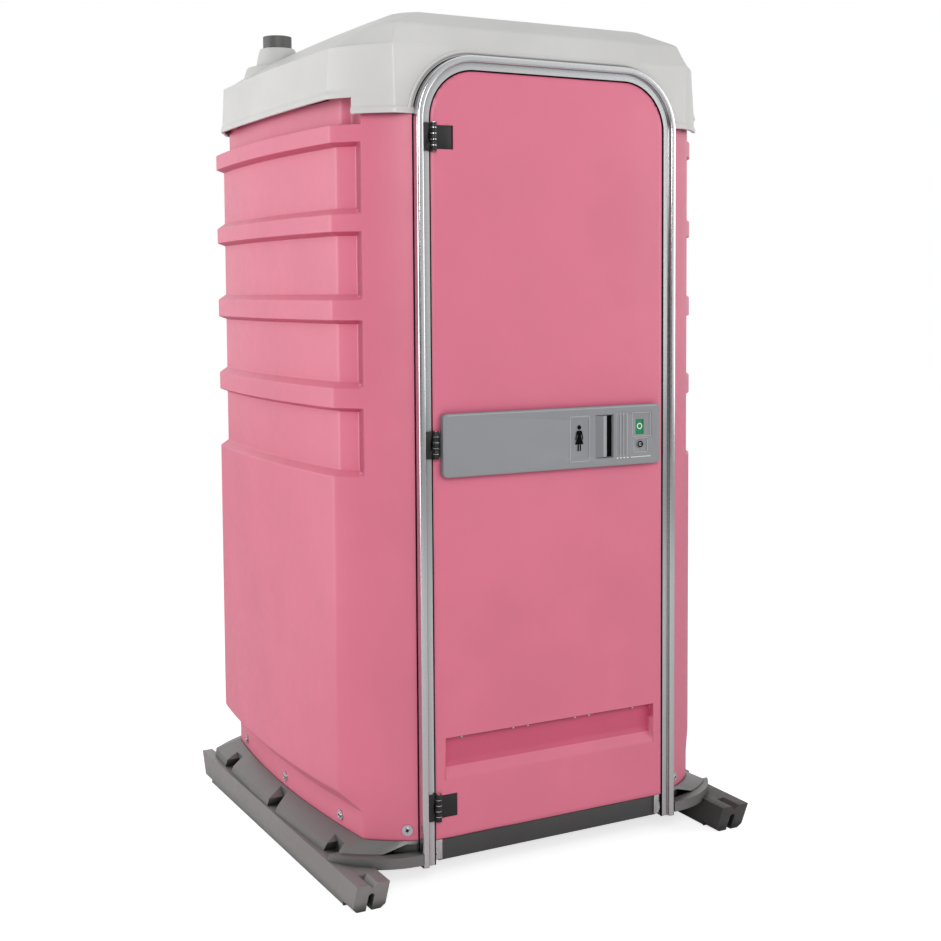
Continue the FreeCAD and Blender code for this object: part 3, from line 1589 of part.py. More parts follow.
front_pocket(
    lock,
    "GripSlot",
    [rounded((grip_u[1] - 21, grip_u[1] - 2), (grip_v[0] + 4, grip_v[1] - 4), 3)],
    (plate_y + d.grip_depth - 1, plate_y + d.grip_depth + 3),
)
SHALLOW = 1.5
flute_u = [grip_u[1] + 10 + 8 * i for i in range(4)]
front_pocket(
    lock,
    "Flutes",
    [rounded((u, u + 4), (grip_v[0] + 5, grip_v[1] - 4), 1.8) for u in flute_u],
    (plate_y - 1, plate_y + SHALLOW),
)
front_pocket(
    lock,
    "SignRecess",
    [
        rounded(
            (d.sign_left, d.sign_left + d.sign_width), (d.sign_foot, d.sign_foot + d.sign_height), 3
        )
    ],
    (plate_y - 1, plate_y + SHALLOW),
)
flag_u = (d.flag_left, d.flag_left + d.flag_width)
flag_v = (d.flag_foot, d.flag_foot + d.flag_height)
front_pocket(
    lock,
    "FlagRecess",
    [rounded((flag_u[0] - 11, flag_u[1] + 25), (flag_v[0] - 5, flag_v[1] + 18), 3)],
    (plate_y - 1, plate_y + SHALLOW),
)
front_pocket(lock, "FlagWindow", [rounded(flag_u, flag_v, 2)], (plate_y, plate_y + inner + 1))
front_pocket(
    lock,
    "BarrelRecess",
    [rounded((d.lock_x - 22, d.lock_x + 23), (d.lock_z - 22, d.lock_z + 17), 3)],
    (plate_y - 1, plate_y + SHALLOW),
)
barrel_sketch = sketch_on(lock, "XZ_Plane", -plate_y, [], "BarrelHole")
barrel_sketch.addGeometry(
    Part.Circle(Vector(d.lock_x.value, d.lock_z.value, 0), Vector(0, 0, 1), d.barrel_radius.value + CLEAR),
    False,
)
pocket(lock, barrel_sketch, inner + 1)
node("lock_plate", lock)

# Indicator lock and its latch inside the door

case_wall = 3
guide_y = (door_back, door_back + 7.7)
bolt_y = (guide_y[1] + CLEAR, guide_y[1] + CLEAR + d.bolt_thickness)
crank_y = (bolt_y[1] + 0.5, bolt_y[1] + 6.5)
case_y = (door_back, door_back + d.case_depth)
flag_y = (plate_y + 4, plate_y + 7)
shaft_start = plate_y + 8
shaft_end = case_y[1] + 13
head = rod("BarrelHead", "y", d.barrel_radius, (d.lock_x, plate_y - 0.5, d.lock_z), 8.5)
shaft_length = shaft_end - shaft_start + 1
shaft = rod("BarrelShaft", "y", d.shaft_radius, (d.lock_x, shaft_start - 1, d.lock_z), shaft_length)
coin_slot = box(
    "CoinSlot", (d.lock_x - 8, d.lock_x + 8), (plate_y - 2, plate_y + 3), (d.lock_z - 1.6, d.lock_z + 1.6)
)
node("lock_barrel", cut("LockBarrel", fused("BarrelBlank", [head, shaft]), [coin_slot]))

shaft_bore = d.shaft_radius + d.pin_clearance
throw = travel / math.sqrt(2)
crank_x, crank_z = d.lock_x - travel / 2, d.lock_z + travel / 2
disc = rod("CrankDisc", "y", throw + 5, (d.lock_x, crank_y[0], d.lock_z), 6)
pin_spot = (crank_x, bolt_y[0] + CLEAR, crank_z)
pin = rod("CrankPin", "y", d.crank_pin_radius, pin_spot, crank_y[0] - bolt_y[0])
disc_bore = rod("CrankBore", "y", shaft_bore, (d.lock_x, crank_y[0] - 2, d.lock_z), 12)
node("lock_crank", cut("LockCrank", fused("CrankBlank", [disc, pin]), [disc_bore]))

lever_y = (case_y[1] + 0.5, case_y[1] + 15)
hub = rod("LeverHub", "y", 15, (d.lock_x, lever_y[0], d.lock_z), 14.5)
blade = box(
    "LeverBlade",
    (d.lock_x - 8, d.lock_x + 8),
    (lever_y[0] + 3, lever_y[1]),
    (d.lock_z - 12, d.lock_z + 52),
)
tip = rod("LeverTip", "y", 8, (d.lock_x, lever_y[0] + 3, d.lock_z + 52), 11.5)
bore_start = (d.lock_x, lever_y[0] - 1, d.lock_z)
lever_bore = rod("LeverBore", "y", shaft_bore, bore_start, shaft_end - lever_y[0] + 1.1)
node("turn_lever", cut("TurnLever", fused("LeverBlank", [hub, blade, tip]), [lever_bore]))

bolt_z = (d.lock_z - 18, d.lock_z - 18 + d.bolt_height)
bolt_plate = box("BoltPlate", (d.bolt_left, d.bolt_right), bolt_y, bolt_z)
arm = box("BoltArm", (stem_x - 8, stem_x + 8), bolt_y, (bolt_z[1] - 1, stem_z + 8))
shaft_slot = box(
    "ShaftSlot",
    (d.lock_x - travel - d.shaft_radius - 0.5, d.lock_x + d.shaft_radius + 0.5),
    (bolt_y[0] - 1, bolt_y[1] + 1),
    (d.lock_z - d.shaft_radius - 0.5, d.lock_z + d.shaft_radius + 0.5),
)
pin_slot = box(
    "PinSlot",
    (crank_x - d.crank_pin_radius - 1, crank_x + d.crank_pin_radius + 1),
    (bolt_y[0] - 1, bolt_y[1] + 1),
    (crank_z - d.crank_pin_radius - 0.5, bolt_z[1] + 1),
)
node("latch_bolt", cut("LatchBolt", fused("BoltBlank", [bolt_plate, arm]), [shaft_slot, pin_slot]))

flag_z = (d.flag_foot - 3, d.flag_foot + d.flag_height + 3)
node("flag_red", box("FlagRed", (flag_u[0] - 30, flag_u[0]), flag_y, flag_z))
node("flag_green", box("FlagGreen", (flag_u[0], flag_u[1] + 3), flag_y, flag_z))
node("flag_stem", rod("FlagStem", "y", stem_radius, (stem_x, flag_y[1], stem_z), bolt_y[0] - flag_y[1]))

guide_u = (d.case_left + case_wall + 2, d.case_right - case_wall - 2)
guide_v = (d.case_foot + case_wall + 2, d.case_top - case_wall - 2)
guide = fused(
    "GuideBlank",
    [
        box("GuidePlate", guide_u, guide_y, guide_v),
        box("GuideRailLow", guide_u, (guide_y[1] - 1, bolt_y[1]), (bolt_z[0] - 7, bolt_z[0] - CLEAR)),
        box(
            "GuideRailHigh",
            (d.lock_x + 19, guide_u[1]),
            (guide_y[1] - 1, bolt_y[1]),
            (bolt_z[1] + CLEAR, bolt_z[1] + 6),
        ),
    ],
)
guide_hole = rod("GuideHole", "y", shaft_hole, (d.lock_x, guide_y[0] - 1, d.lock_z), 12)
guide_slot = box(
    "GuideSlot",
    (stem_x - stem_radius - 0.6, stem_x + travel + stem_radius + 0.6),
    (guide_y[0] - 1, guide_y[1] + 1),
    (stem_z - stem_radius - 0.6, stem_z + stem_radius + 0.6),
)
node("latch_guide", cut("LatchGuide", guide, [guide_hole, guide_slot]))

case_u, case_v = (d.case_left, d.case_right), (d.case_foot, d.case_top)
case = body("LatchCase")
front_pad(case, "CaseBlank", [rounded(case_u, case_v, 8)], case_y)
front_pocket(
    case,
    "CaseRoom",
    [
        rounded(
            (case_u[0] + case_wall, case_u[1] - case_wall),
            (case_v[0] + case_wall, case_v[1] - case_wall),
            5,
        )
    ],
    (case_y[0], case_y[1] - case_wall),
)
mouth = sketch_on(
    case,
    "YZ_Plane",
    d.case_right - 6,
    [rectangle((bolt_y[0] - 0.8, bolt_y[1] + 0.8), (bolt_z[0] - 0.8, bolt_z[1] + 0.8))],
    "CaseMouth",
)
pocket(case, mouth, 8, reverse=True)
bearing = sketch_on(case, "XZ_Plane", -(case_y[1] - case_wall - 1), [], "CaseBearing")
bearing.addGeometry(
    Part.Circle(Vector(d.lock_x.value, d.lock_z.value, 0), Vector(0, 0, 1), shaft_bore.value), False
)
pocket(case, bearing, case_wall + 2)
node("latch_case", case)

strike_x = (stop_half + 0.5, web_half + 2)
node(
    "strike_plate",
    box("StrikePlate", strike_x, (stop_back, stop_back + 1.2), (bolt_z[0] - 8, bolt_z[1] + 8)),
)

# Inner pull handle and coat hook

PULL_X, PULL_LOW, PULL_HIGH, PULL_OUT = 262.0, 870.0, 1010.0, 36.0
pull_y = door_back + PULL_OUT
grip_rod = rod("PullGrip", "z", 8, (PULL_X, pull_y, PULL_LOW), PULL_HIGH - PULL_LOW)
ends = []
for i, z in enumerate((PULL_LOW, PULL_HIGH)):
    ends.append(rod("PullPost%d" % i, "y", 8, (PULL_X, door_back, z), PULL_OUT))
    ends.append(rod("PullFlange%d" % i, "y", 15, (PULL_X, door_back, z), 4))
    ball = doc.addObject("Part::Sphere", "PullElbow%d" % i)
    ball.Radius = 8
    at(ball, PULL_X, pull_y, z)
    ends.append(ball)
node("pull_handle", fused("PullHandle", [grip_rod] + ends))

HOOK_Z = 1750.0
hook_base = rod("HookBase", "y", 17, (0, door_back, HOOK_Z), 4)
hook_arm = rod("HookArm", "y", 5, (0, door_back, HOOK_Z - 4), 34)
hook_bend = doc.addObject("Part::Sphere", "HookBend")
hook_bend.Radius = 5
at(hook_bend, 0, door_back + 34, HOOK_Z - 4)
hook_rise = rod("HookRise", "z", 5, (0, door_back + 34, HOOK_Z - 4), 20)
hook_ball = doc.addObject("Part::Sphere", "HookBall")
hook_ball.Radius = 8
at(hook_ball, 0, door_back + 34, HOOK_Z + 19)
node("coat_hook", fused("CoatHook", [hook_base, hook_arm, hook_bend, hook_rise, hook_ball]))

# Waste tank

tank = body("Tank")
lip_z = d.tank_top - 25
side_view = [
    (d.tank_toe, deck),
    (d.tank_back, deck),
    (d.tank_back, d.ledge_top),
    (d.ledge_front, d.ledge_top),
    (d.ledge_front, d.tank_top),
    (d.tank_front + 20, d.tank_top, 20, 1),
    (d.tank_front, d.tank_top - 20),
    (d.tank_front, lip_z),
]
pad(tank, sketch_on(tank, "YZ_Plane", 0, [side_view], "TankSide"), d.tank_width, middle=True)
t = d.tank_wall
hollow_view = [
    (d.tank_toe + t, deck + t),
    (d.tank_back - t, deck + t),
    (d.tank_back - t, d.ledge_top - t),
    (d.ledge_front + t, d.ledge_top - t),
    (d.ledge_front + t, d.tank_top - t),
    (d.tank_front + t + 5, d.tank_top - t),
    (d.tank_front + t, lip_z),
]
pocket(
    tank,
    sketch_on(tank, "YZ_Plane", 0, [hollow_view], "TankHollow"),
    d.tank_width - 2 * t,
    middle=True,
)
seat_v = (d.seat_middle - d.seat_length / 2, d.seat_middle + d.seat_length / 2)
hole_v = (d.seat_middle - d.drop_length / 2, d.seat_middle + d.drop_length / 2)
drop = rounded((-d.drop_width / 2, d.drop_width / 2), hole_v, 100)
pocket(tank, sketch_on(tank, "XY_Plane", d.tank_top + 1, [drop], "TankDrop"), 12)
vent_sketch = sketch_on(tank, "XY_Plane", d.tank_top + 1, [], "TankVent")
vent_sketch.addGeometry(
    Part.Circle(Vector(*vent_spot, 0), Vector(0, 0, 1), (d.vent_radius - d.vent_wall).value), False
)
pocket(tank, vent_sketch, 12)
node("tank", tank)

# Seat, lid and their hinge

hinge_seat_y, hinge_seat_z = seat_v[1] + 20, d.tank_top + d.seat_rest + d.seat_thickness - 4
seat_low = d.tank_top + d.seat_rest
rod_bore = d.rod_radius + d.pin_clearance


def ears(tag, places, axis, arm_y, arm_z):
    """Two hinge ears, each an eye on the rod's axis and an arm from the flat piece to it."""
    made = []
    for i, (a, b) in enumerate(places):
        made.append(rod("%sEar%d" % (tag, i), "x", 9, (a, *axis), b - a))
        made.append(box("%sArm%d" % (tag, i), (a, b), arm_y, arm_z))
    return made


seat = body("SeatRing")
seat_plan = rounded((-d.seat_width / 2, d.seat_width / 2), seat_v, 150)
pad(seat, sketch_on(seat, "XY_Plane", seat_low, [seat_plan], "SeatPlan"), d.seat_thickness)
pocket(
    seat,
    sketch_on(seat, "XY_Plane", seat_low + d.seat_thickness + 1, [drop], "SeatHole"),
    d.seat_thickness + 2,
)
doc.recompute()
ring_tip = seat.Tip
top_edges = []
top_z = (seat_low + d.seat_thickness).value
for i, edge in enumerate(ring_tip.Shape.Edges, start=1):
    if all(abs(v.Point.z - top_z) < 0.01 for v in edge.Vertexes):
        top_edges.append("Edge%d" % i)
soft_seat = seat.newObject("PartDesign::Fillet", "SeatRound")
soft_seat.Base = (ring_tip, top_edges)
soft_seat.Radius = 6
SEAT_EARS = [(-88, -68), (68, 88)]
LID_EARS = [(-62, -44), (44, 62)]
seat_axis = (hinge_seat_y, hinge_seat_z)
seat_arm_y = (seat_v[1] - 12, hinge_seat_y)
seat_parts = [seat] + ears("Seat", SEAT_EARS, seat_axis, seat_arm_y, (seat_low + 8, top_z))
seat_bore = rod("SeatBore", "x", rod_bore, (-120, hinge_seat_y, hinge_seat_z), 240)
bumpers = [
    rod("SeatBumper%d%d" % (i, j), "z", 8, (x, y, d.tank_top), d.seat_rest + 1)
    for i, x in enumerate((-145, 145))
    for j, y in enumerate((float(seat_v[0]) + 120, float(seat_v[1]) - 90))
]
node("seat", cut("Seat", fused("SeatBlank", seat_parts + bumpers), [seat_bore]))

lid = body("LidPlate")
lid_low = seat_low + d.seat_thickness + d.lid_gap - hinge_seat_z
lid_v = (seat_v[0] - hinge_seat_y, seat_v[1] - hinge_seat_y)
lid_plan = rounded((-d.seat_width / 2, d.seat_width / 2), lid_v, 150)
pad(lid, sketch_on(lid, "XY_Plane", lid_low, [lid_plan], "LidPlan"), d.lid_thickness)
doc.recompute()
lid_tip = lid.Tip
lid_top = (lid_low + d.lid_thickness).value
lid_edges = [
    "Edge%d" % i
    for i, edge in enumerate(lid_tip.Shape.Edges, start=1)
    if all(abs(v.Point.z - lid_top) < 0.01 for v in edge.Vertexes)
]
soft_lid = lid.newObject("PartDesign::Fillet", "LidRound")
soft_lid.Base = (lid_tip, lid_edges)
soft_lid.Radius = 5
lid_parts = [lid] + ears("Lid", LID_EARS, (0, 0), (lid_v[1] - 12, 5), (6, lid_top - 6))
lid_bore = rod("LidBore", "x", rod_bore, (-120, 0, 0), 240)
lid_whole = cut("Lid", fused("LidBlank", lid_parts), [lid_bore])
lid_whole.Placement = Placement(Vector(), Rotation(Vector(-1, 0, 0), 1))
lid_whole.setExpression("Placement.Rotation.Angle", "Sizes.lid_open * 1 deg")
at(lid_whole, 0, hinge_seat_y, hinge_seat_z)
node("lid", lid_whole)

brackets = []
for i, (a, b) in enumerate(((-110, -95), (95, 110))):
    foot_y = (hinge_seat_y - 16, hinge_seat_y + 16)
    post_y = (hinge_seat_y - 10, hinge_seat_y + 10)
    foot = box("BracketFoot%d" % i, (a - 8, b + 8), foot_y, (d.tank_top, d.tank_top + 5))
    post = box("BracketPost%d" % i, (a, b), post_y, (d.tank_top, hinge_seat_z))
    eye = rod("BracketEye%d" % i, "x", 10, (a, hinge_seat_y, hinge_seat_z), b - a)
    brackets.append(fused("Bracket%d" % i, [foot, post, eye]))
bracket_bore = rod("BracketBore", "x", rod_bore, (-130, hinge_seat_y, hinge_seat_z), 260)
node("seat_brackets", cut("SeatBrackets", group("BracketPair", brackets), [bracket_bore]))
node("seat_rod", rod("SeatRod", "x", d.rod_radius, (-113, hinge_seat_y, hinge_seat_z), 226))

# Vent pipe and wall vent screens

pipe_height = d.vent_top - d.tank_top
pipe = rod("VentOuter", "z", d.vent_radius, (d.vent_x, d.vent_y, d.tank_top), pipe_height)
pipe_bore = rod(
    "VentBore", "z", d.vent_radius - d.vent_wall, (d.vent_x, d.vent_y, d.tank_top - 1), pipe_height + 2
)
node("vent_pipe", cut("VentPipe", pipe, [pipe_bore]))

side_centre, side_radius = main_plan.side
screen_radius = side_radius - d.cornice_depth.value - sheet_wall - CLEAR
wall_screens = []
for low, high in SLOTS:
    base = Vector(side_centre[0], side_centre[1], slot_low - 6)
    height = slot_high - slot_low + 12
    rim_shape = Part.makeCylinder(screen_radius, height, base)
    rim_shape = rim_shape.cut(Part.makeCylinder(screen_radius - 1.6, height, base))
    wall_screens.append(
        rim_shape.common(Part.makeBox(300, high - low + 16, 200, Vector(-700, low - 8, slot_low - 40)))
    )
node("wall_vent_screens", shaped("WallVentScreens", Part.makeCompound(both(wall_screens))))

# Paper holder

holder_half = d.holder_length / 2
holder_low, holder_high = (d.holder_y - holder_half).value, (d.holder_y + holder_half).value
inside = [-at_level(side_centre, side_radius - sheet_wall, y)[0] for y in (holder_low, holder_high)]
back_x = min(inside) - CLEAR
HOLDER_WALL = 4.0
axis_x = back_x - HOLDER_WALL - d.roll_radius - 8
back_plate = box(
    "HolderBack",
    (back_x - HOLDER_WALL, back_x),
    (d.holder_y - holder_half, d.holder_y + holder_half),
    (d.holder_z - 35, d.holder_z + 75),
)
arms = []
for i, (a, b) in enumerate(
    ((-holder_half, HOLDER_WALL - holder_half), (holder_half - HOLDER_WALL, holder_half))
):
    limits = (d.holder_y + a, d.holder_y + b)
    arms.append(
        box("HolderArm%d" % i, (axis_x, back_x), limits, (d.holder_z - 26, d.holder_z + 26))
    )
    arms.append(rod("HolderEnd%d" % i, "y", 26, (axis_x, limits[0], d.holder_z), HOLDER_WALL))
hood = box(
    "HolderHood",
    (axis_x - 20, back_x),
    (d.holder_y - holder_half, d.holder_y + holder_half),
    (d.holder_z + d.roll_radius + 8, d.holder_z + d.roll_radius + 12),
)
end_bore = rod(
    "HolderBore",
    "y",
    12 + d.pin_clearance,
    (axis_x, holder_low - 5, d.holder_z),
    holder_high - holder_low + 10,
)
node("paper_holder", cut("PaperHolder", fused("HolderBlank", [back_plate, hood] + arms), [end_bore]))
core = rod(
    "SpindleCore",
    "y",
    d.spindle_radius,
    (axis_x, d.holder_y - holder_half + HOLDER_WALL + CLEAR, d.holder_z),
    d.holder_length - 2 * HOLDER_WALL - 2 * CLEAR,
)
journal = rod("SpindleJournal", "y", 12, (axis_x, holder_low - 2, d.holder_z), holder_high - holder_low + 4)
node("paper_spindle", fused("PaperSpindle", [core, journal]))
roll_offset = d.roll_length / 2 + 4
for i, middle in enumerate((d.holder_y - roll_offset, d.holder_y + roll_offset), start=1):
    start = middle - d.roll_length / 2
    outer = rod("RollOuter%d" % i, "y", d.roll_radius, (axis_x, start, d.holder_z), d.roll_length)
    inner_bore = rod(
        "RollBore%d" % i,
        "y",
        d.spindle_radius + d.roll_clearance,
        (axis_x, start - 1, d.holder_z),
        d.roll_length + 2,
    )
    node("paper_roll_%d" % i, cut("PaperRoll%d" % i, outer, [inner_bore]))

# Check and export

doc.recompute()
faults = []
for thing in doc.Objects:
    if "Invalid" in thing.State or "Error" in thing.State:
        faults.append(thing.Name)
for name, thing in NODES.items():
    if thing.Shape.isNull() or not thing.Shape.isValid() or not thing.Shape.Solids:
        faults.append(name)
if faults:
    raise RuntimeError("faulty pieces: " + ", ".join(faults))
for name, thing in NODES.items():
    thing.Shape.exportStep("parts/%s.step" % name)
print(len(NODES), "sub-parts written")
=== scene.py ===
import json
import math
from contextlib import contextmanager

import bmesh
import bpy
import numpy as np
from mathutils import Matrix, Vector


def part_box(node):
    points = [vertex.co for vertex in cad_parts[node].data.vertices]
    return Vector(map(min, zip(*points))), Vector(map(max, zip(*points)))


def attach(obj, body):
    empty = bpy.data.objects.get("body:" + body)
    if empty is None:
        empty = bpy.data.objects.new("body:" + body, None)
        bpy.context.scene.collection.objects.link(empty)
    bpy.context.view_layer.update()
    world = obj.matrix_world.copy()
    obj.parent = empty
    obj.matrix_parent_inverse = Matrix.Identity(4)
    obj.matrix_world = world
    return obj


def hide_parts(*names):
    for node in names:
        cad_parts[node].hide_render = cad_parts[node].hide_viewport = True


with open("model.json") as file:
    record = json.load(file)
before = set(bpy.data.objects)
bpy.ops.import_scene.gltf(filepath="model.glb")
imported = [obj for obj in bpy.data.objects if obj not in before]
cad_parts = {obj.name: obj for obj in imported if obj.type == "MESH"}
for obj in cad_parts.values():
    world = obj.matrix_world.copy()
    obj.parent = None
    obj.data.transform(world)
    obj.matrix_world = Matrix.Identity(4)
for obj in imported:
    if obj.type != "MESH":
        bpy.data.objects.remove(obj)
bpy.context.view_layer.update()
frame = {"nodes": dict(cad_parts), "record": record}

NODES = frame["nodes"]
NODE_SLOT = {entry["node"]: entry["material_slot"] for entry in frame["record"]["subparts"]}
MM = 0.001


def node_box(node):
    """Lowest and highest corners of a CAD node, in millimetres."""
    return [np.array(corner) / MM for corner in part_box(node)]


def new_object(name, data):
    """Links a new object to the scene."""
    thing = bpy.data.objects.new(name, data)
    bpy.context.scene.collection.objects.link(thing)
    return thing


# Camera

IMAGE_SIZE, SENSOR = 941, 36
FOCAL_LENGTH, SHIFT_X, SHIFT_Y = 1452.4, -3.2, -85
EYE = (-1.9992, -3.8309, 1.5461)
YAW, PITCH, ROLL = math.radians(28.223), math.radians(-3.73), math.radians(-0.362)
forward = Vector((math.sin(YAW) * math.cos(PITCH), math.cos(YAW) * math.cos(PITCH), math.sin(PITCH)))
right = Vector((math.cos(YAW), -math.sin(YAW), 0))
upward = right.cross(forward)
tilt_right = math.cos(ROLL) * right + math.sin(ROLL) * upward
tilt_up = -math.sin(ROLL) * right + math.cos(ROLL) * upward
camera_data = bpy.data.cameras.new("camera")
camera_data.sensor_width = SENSOR
camera_data.lens = FOCAL_LENGTH / IMAGE_SIZE * SENSOR
camera_data.shift_x = SHIFT_X / IMAGE_SIZE
camera_data.shift_y = SHIFT_Y / IMAGE_SIZE
camera = new_object("camera", camera_data)
turn = Matrix((tilt_right, tilt_up, -forward)).transposed().to_4x4()
camera.matrix_world = Matrix.Translation(EYE) @ turn
bpy.context.scene.camera = camera
bpy.context.scene.view_settings.view_transform = "Standard"

# Soft studio lamps


def lamp(name, place, target, size, power):
    data = bpy.data.lights.new(name, "AREA")
    data.shape = "RECTANGLE"
    data.size, data.size_y = size
    data.energy = power
    thing = new_object(name, data)
    thing.location = place
    thing.rotation_euler = (Vector(target) - Vector(place)).to_track_quat("-Z", "Y").to_euler()


lamp("key", (-2.2, -5.8, 3.4), (0, 0, 1.1), (2.6, 2.6), 165)
lamp("left", (-4.6, 1.8, 1.7), (0, 0.2, 1.0), (3.2, 3.2), 110)
lamp("fill", (4.4, -3.2, 2.2), (0, 0, 1.1), (2.4, 3.0), 52)
lamp("top", (0.0, 0.6, 5.2), (0, 0, 1.0), (3.5, 3.5), 4)


class Nodes:
    """A cleared node tree, with short calls for its nodes."""

    def __init__(self, owner):
        owner.use_nodes = True
        self.tree = owner.node_tree
        self.tree.nodes.clear()

    def fill(self, made, inputs):
        """Sets a node's inputs, each a plain value or another node's output."""
        for key, value in inputs.items():
            if isinstance(value, bpy.types.NodeSocket):
                self.tree.links.new(value, made.inputs[key])
            else:
                made.inputs[key].default_value = value

    def node(self, kind, inputs=None, **settings):
        made = self.tree.nodes.new("ShaderNode" + kind)
        for key, value in settings.items():
            setattr(made, key, value)
        self.fill(made, inputs or {})
        return made

    def spread(self, value, start, end, low=0.0, high=1.0):
        """Low up to the start, high from the end on, and even between them."""
        inputs = {"Value": value, "From Min": start, "From Max": end, "To Min": low, "To Max": high}
        return self.node("MapRange", inputs).outputs[0]

    def mixed(self, share, one, other):
        return self.node("MixShader", {0: share, 1: one, 2: other}).outputs[0]


# World: camera rays see plain white. Gloss sees a white room with a dim corner in front of the cabin.
# The light on the cabin itself is a little cool, and weaker from overhead.

WHITE_LIGHT, COOL_LIGHT = (1, 1, 1, 1), (0.97, 0.985, 1.0, 1)
DIM_CORNER = (-0.66, -0.75, 0.0)
world = bpy.data.worlds.new("studio")
bpy.context.scene.world = world
room = Nodes(world)


def background(colour, strength):
    return room.node("Background", {"Color": colour, "Strength": strength}).outputs[0]


rays = room.node("LightPath").outputs
direction = room.node("TexCoord").outputs["Generated"]
facing = room.node("VectorMath", {0: direction, 1: DIM_CORNER}, operation="DOT_PRODUCT").outputs["Value"]
height = room.node("SeparateXYZ", {0: direction}).outputs["Z"]
dimming, overhead = room.spread(facing, 0.15, 0.85), room.spread(height, 0.2, 0.9)
gloss = room.mixed(dimming, background(WHITE_LIGHT, 1.0), background(WHITE_LIGHT, 0.12))
soft_light = room.mixed(overhead, background(COOL_LIGHT, 0.66), background(COOL_LIGHT, 0.22))
gloss_rays = {0: rays["Is Glossy Ray"], 1: rays["Is Transmission Ray"]}
reflected = room.node("Math", gloss_rays, operation="MAXIMUM").outputs[0]
in_room = room.mixed(reflected, soft_light, gloss)
seen = room.mixed(rays["Is Camera Ray"], in_room, background(WHITE_LIGHT, 1.0))
room.node("OutputWorld", {"Surface": seen})

# Materials

# Noise scales, and bump depths in metres
CLOUD_SCALE, WAVE_SCALE, SHEEN_SCALE, GRAIN_SCALE = 4.5, 7, 38, 900
WAVE_BUMP, WAVE_DEPTH, GRAIN_DEPTH = 0.22, 0.004, 0.0002
MOTTLE = 0.04
RAMP_STOPS = (0.3, 0.7)
NOISE_LOW, NOISE_HIGH = 0.25, 0.75
# Reach and limits of the painted shade in corners
CORNER_REACH, CORNER_DARK, CORNER_OPEN = 0.035, 0.28, 0.86
METAL_MOTTLE, METAL_BUMP = 0.9, 0.15


def srgb(*levels):
    """Linear colour from display levels of 0 to 255."""
    shares = [level / 255 for level in levels]
    return tuple(((s + 0.055) / 1.055) ** 2.4 if s > 0.04045 else s / 12.92 for s in shares)


class Paint(Nodes):
    """The nodes of one procedural material."""

    def __init__(self, name):
        self.material = bpy.data.materials.new(name)
        super().__init__(self.material)
        self.shader = self.node("BsdfPrincipled")
        self.out = self.node("OutputMaterial", {"Surface": self.shader.outputs[0]})
        self.place = self.node("TexCoord").outputs["Object"]

    def noise(self, scale, detail, rough=0.5):
        inputs = {"Vector": self.place, "Scale": scale, "Detail": detail, "Roughness": rough}
        return self.node("TexNoise", inputs).outputs["Fac"]

    def two_tone(self, value, low, high):
        """A colour between low and high, with soft borders."""
        made = self.node("ValToRGB", {0: value})
        for spot, place, colour in zip(made.color_ramp.elements, RAMP_STOPS, (low, high)):
            spot.position = place
            spot.color = (*colour, 1)
        return made.outputs[0]

    def bump(self, value, strength, distance, after=None):
        inputs = {"Height": value, "Strength": strength, "Distance": distance}
        if after is not None:
            inputs["Normal"] = after
        return self.node("Bump", inputs).outputs[0]

    def finish(self, colour, rough_noise, rough, normal):
        """Connects the shader and gives the finished material."""
        rough = self.spread(rough_noise, NOISE_LOW, NOISE_HIGH, *rough)
        self.fill(self.shader, {"Base Color": colour, "Roughness": rough, "Normal": normal})
        return self.material


def moulded(name, colour, rough=(0.42, 0.56), grain=0.25, corner_shade=None, shine=0.5):
    """Moulded plastic: faint mottling, slow sheet waviness, a fine grain, and painted shade that darkens the
    hollows.
    """
    paint = Paint(name)
    paint.fill(paint.shader, {"Specular IOR Level": shine})
    low = tuple(c * (1 - MOTTLE) for c in colour)
    high = tuple(min(1, c * (1 + MOTTLE)) for c in colour)
    mottle_and_shade = paint.two_tone(paint.noise(CLOUD_SCALE, 4), low, high)
    # Painted shade: ambient occlusion mixes the darker corner colour into hollows and creases.
    if corner_shade:
        corner = paint.node("AmbientOcclusion", {"Distance": CORNER_REACH}, samples=6)
        open_share = paint.spread(corner.outputs["AO"], CORNER_DARK, CORNER_OPEN)
        inputs = {"Fac": open_share, "Color1": (*corner_shade, 1), "Color2": mottle_and_shade}
        mottle_and_shade = paint.node("MixRGB", inputs).outputs[0]
    wave = paint.bump(paint.noise(WAVE_SCALE, 2), WAVE_BUMP, WAVE_DEPTH)
    fine = paint.bump(paint.noise(GRAIN_SCALE, 2), grain, GRAIN_DEPTH, wave)
    return paint.finish(mottle_and_shade, paint.noise(SHEEN_SCALE, 5, 0.6), rough, fine)


def metal(name, colour, rough=(0.2, 0.3), scale=300, crease_shade_reach=None):
    """Metal with a fine even grain, and painted shade that darkens creases narrower than the given distance.
    """
    paint = Paint(name)
    paint.fill(paint.shader, {"Metallic": 1.0})
    grain = paint.noise(scale, 3, 0.6)
    grain_and_shade = paint.two_tone(grain, tuple(c * METAL_MOTTLE for c in colour), colour)
    # Painted shade: ambient occlusion darkens the colour in creases.
    if crease_shade_reach:
        corner = paint.node("AmbientOcclusion", {"Color": grain_and_shade, "Distance": crease_shade_reach}, samples=6)
        grain_and_shade = corner.outputs["Color"]
    return paint.finish(grain_and_shade, grain, rough, paint.bump(grain, METAL_BUMP, GRAIN_DEPTH))


